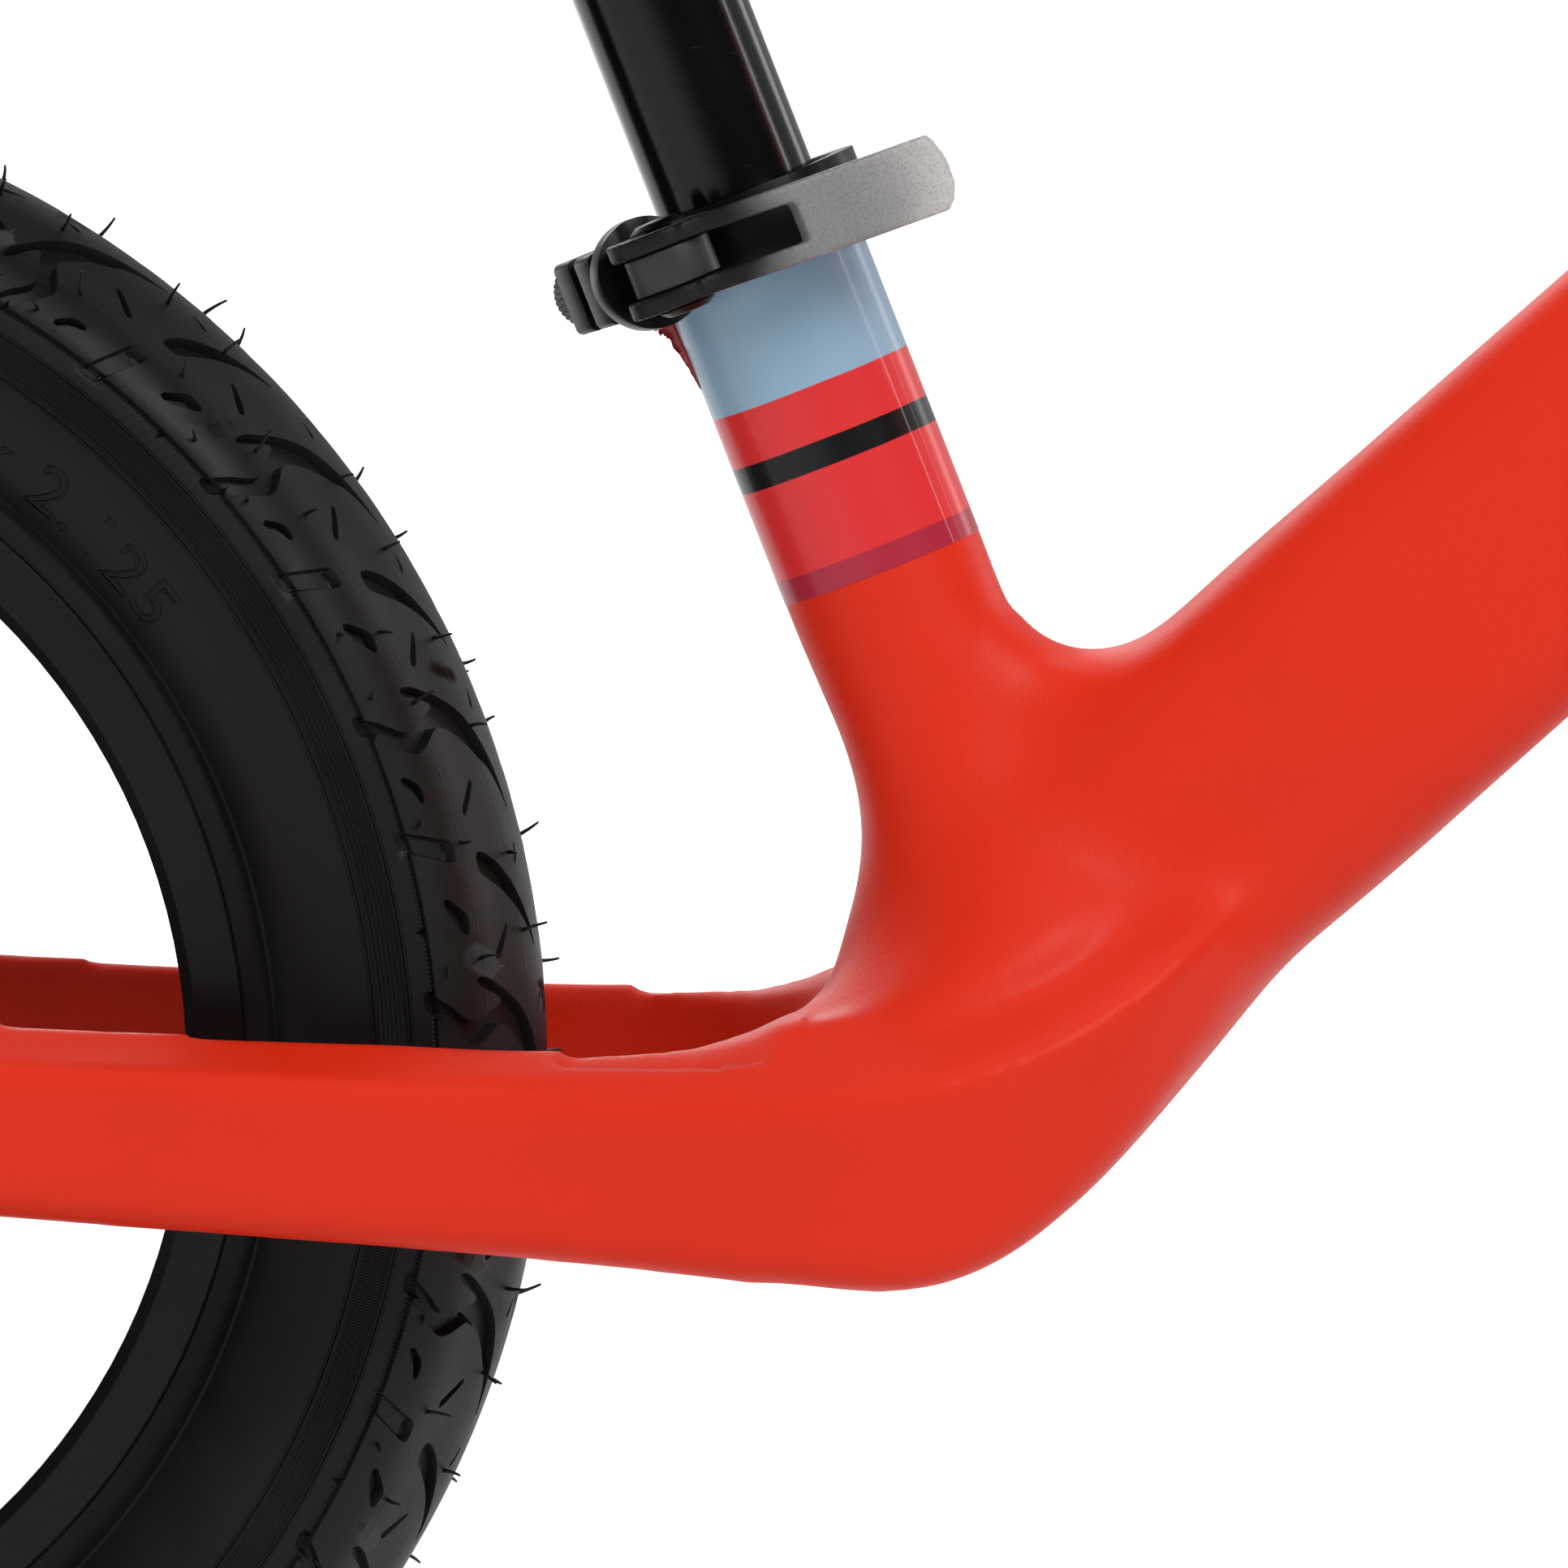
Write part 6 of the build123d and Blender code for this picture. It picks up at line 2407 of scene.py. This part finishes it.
    def stitches(self, name: str, line: np.ndarray, thread: Material) -> Object:
        """A row of stitches along a line, laid by geometry nodes.

        Args:
            name: The piece's name.
            line: Points on the cushion.
            thread: Its finish.

        Returns:
            The piece.
        """
        piece = new_piece(name, self.loop_mesh("stitches", line))
        g = Growth("saddle_stitches")
        gap = g.takes("Gap", self.stitch_gap)
        length = g.takes("Length", self.stitch_length)
        radius = g.takes("Radius", self.stitch_radius)
        finish = g.takes("Thread", thread)
        curve = g.value("GeometryNodeMeshToCurve", None, {0: g.mesh()})
        spaced = g.node("GeometryNodeCurveToPoints", {"mode": "LENGTH"}, {"Curve": curve, "Length": gap})
        capsule = g.value("GeometryNodeMeshUVSphere", None, {"Segments": 8, "Rings": 6, "Radius": 1.0})
        laid = g.value("GeometryNodeInstanceOnPoints", None, {
            "Points": Value(g, spaced.outputs["Points"]), "Instance": capsule,
            "Rotation": Value(g, spaced.outputs["Rotation"]),
            "Scale": g.vector(radius, radius, length * 0.5)})
        g.end(laid, finish)
        g.grow(piece)
        piece.data.shade_smooth()
        return piece

    @staticmethod
    def loop_mesh(name: str, points: np.ndarray) -> Mesh:
        """A closed loop of edges through points.

        Args:
            name: The mesh's name.
            points: The loop's points.

        Returns:
            The mesh.
        """
        mesh = bpy.data.meshes.new(name)
        count = len(points)
        mesh.from_pydata([tuple(p) for p in points], [(k, (k + 1) % count) for k in range(count)], [])
        return mesh


@dataclass
class Grip:
    """One ribbed rubber grip with a flange inside and a round safety end."""

    name: str
    side: int
    radius: float = 14.4 * MM
    flange: float = 20.6 * MM
    end: float = 18.6 * MM
    rib_height: float = 0.75 * MM
    ribs: int = 15

    def line(self) -> tuple[Line, float]:
        """The grip's axis, outwards from its flanged end, and its length.

        Returns:
            The axis, and the length.
        """
        points = points_of(frame["nodes"]["grips"].data)
        points = points[points[:, 1] * self.side > 0]
        middle = points.mean(0)
        _, _, rows = np.linalg.svd(points - middle, full_matrices=False)
        axis = rows[0] * (1 if rows[0][1] * self.side > 0 else -1)
        along = (points - middle) @ axis
        start = middle + axis * along.min()
        return Line(Vector(start), Vector(axis)), float(along.max() - along.min())

    def build(self, rubber: Material) -> Object:
        """Makes the grip's body and its ribs.

        Args:
            rubber: The grip's finish.

        Returns:
            The piece.
        """
        line, length = self.line()
        r = self.radius
        profile = [(11.3 * MM, 0), (self.flange - 1 * MM, 0), (self.flange, 0.8 * MM),
                   (self.flange, 3.0 * MM), (self.flange - 1 * MM, 3.9 * MM), (r + 1.6 * MM, 4.6 * MM),
                   (r + 0.4 * MM, 6.2 * MM), (r, 8 * MM)]
        for k in range(1, 13):
            share = k / 13
            profile.append((r + 0.5 * MM * math.sin(math.pi * share), 8 * MM + (length - 20 * MM) * share))
        end = self.end
        profile += [(r, length - 12 * MM), (r + 0.5 * MM, length - 10 * MM),
                    (end - 1.6 * MM, length - 8.6 * MM), (end, length - 6.4 * MM), (end, length - 3.4 * MM),
                    (end - 1.2 * MM, length - 1.2 * MM), (end - 3.6 * MM, length - 0.1 * MM),
                    (6 * MM, length), (0, length)]
        body = turned("grip", profile, 72, line.matrix())
        body.materials.append(rubber)
        rings = self.rings(line, length, rubber)
        piece = new_piece(self.name, joined(self.name, body, rings), rubber)
        piece.data.shade_smooth()
        piece.data.set_sharp_from_angle(angle=math.radians(45))
        return piece

    def rings(self, line: Line, length: float, rubber: Material) -> Mesh:
        """The ribs, laid along the grip by geometry nodes.

        Args:
            line: The grip's axis.
            length: Its length.
            rubber: Their finish.

        Returns:
            Their mesh, in place.
        """
        piece = new_piece("grip_ribs", bpy.data.meshes.new("grip_ribs"))
        g = Growth("grip_ribs")
        count = g.takes("Ribs", self.ribs)
        radius = g.takes("Radius", self.radius + 0.25 * MM)
        height = g.takes("Rib Height", self.rib_height)
        start = g.takes("Start", 13 * MM)
        gap = g.takes("Gap", (length - 31 * MM) / (self.ribs - 1))
        finish = g.takes("Rubber", rubber)
        points = g.value("GeometryNodeMeshLine", None, {
            "Count": count, "Start Location": g.vector(0.0, 0.0, start), "Offset": g.vector(0.0, 0.0, gap)})
        ring = g.value("GeometryNodeCurvePrimitiveCircle", None, {"Resolution": 56, "Radius": radius})
        section = g.value("GeometryNodeCurvePrimitiveCircle", None, {"Resolution": 8, "Radius": height})
        rib = g.value("GeometryNodeCurveToMesh", None, {"Curve": ring, "Profile Curve": section})
        g.end(g.value("GeometryNodeInstanceOnPoints", None, {"Points": points, "Instance": rib}), finish)
        g.grow(piece)
        mesh = piece.data
        bpy.data.objects.remove(piece)
        mesh.transform(line.matrix())
        outward(mesh)
        return mesh


def build_grips(rubber: Material) -> None:
    """Makes both grips and hides the plain ones.

    Args:
        rubber: The grips' finish.
    """
    for name, side in (("grip_right", -1), ("grip_left", 1)):
        piece = Grip(name, side).build(rubber)
        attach(piece, "bars")
        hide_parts("grips")
        log.info("%s: %d faces", name, len(piece.data.polygons))


# --- main


FINISHES = {
    "frame_paint": CastPaint(),
    "wheel_plastic": Moulded("wheel_plastic", (13, 13, 14), 0.34),
    "tyre": Moulded("tyre_rubber_plain", (14, 14, 14), 0.55),
    "butyl": Moulded("butyl", (26, 26, 27), 0.6),
    "bearing_steel": Metal("bearing_steel", (190, 190, 192), 0.22),
    "steel": Metal("steel", (170, 170, 172), 0.3, Lay.TURNED),
    "chrome": Metal("chrome", (205, 206, 208), 0.12),
    "aluminium": Metal("aluminium", (178, 180, 182), 0.34, Lay.TURNED),
    "black_metal": Enamel("black_metal", (6, 6, 7), 0.36, 0.05, specular=0.18),
    "black_paint": Enamel("black_paint", (4, 4, 4), 0.17, 0.1, 0.08, specular=0.3),
    "grip_rubber": Moulded("grip_rubber", (26, 26, 27), 0.62),
    "saddle_plastic": Moulded("saddle_plastic", (22, 22, 23), 0.45),
    "saddle_cover": Moulded("saddle_cover", (24, 24, 26), 0.5),
}


def dress_nodes(finishes: dict[str, Material]) -> None:
    """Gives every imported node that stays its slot's finish."""
    for part in frame["record"]["subparts"]:
        finish_in(frame["nodes"][part["node"]].data, finishes[part["material_slot"]])


def main() -> None:
    """Builds the studio and dresses every sub-assembly."""
    logging.basicConfig(level=logging.INFO, format="%(name)s: %(message)s")
    Viewpoint().build()
    Studio().build()
    finishes = {slot: finish.material() for slot, finish in FINISHES.items()}
    dress_nodes(finishes)
    skin = FrameSkin().build(finishes["frame_paint"])
    log.info("frame skin: %d faces", len(skin.data.polygons))
    TubeFilm().build()
    QuickRelease().build(finishes)
    tyre, air = Tyre(), AirTube()
    rubber = TyreRubber().material()
    carcass, whiskers, marks = tyre.carcass(rubber), tyre.whiskers(rubber), tyre.marks(rubber)
    tube = air.ring()
    tube.materials.append(finishes["butyl"])
    for wheel in (
        Wheel("rear", "rear_wheel_set", "rear_wheel_spin"),
        Wheel("front", "front_wheel_set", "front_wheel_spin", math.radians(-41)),
    ):
        wheel.build(carcass, whiskers, marks, tube)
        wheel.valve(air, finishes["butyl"], finishes["chrome"])
    Saddle().build(finishes)
    build_grips(finishes["grip_rubber"])


if __name__ == "__main__":
    main()
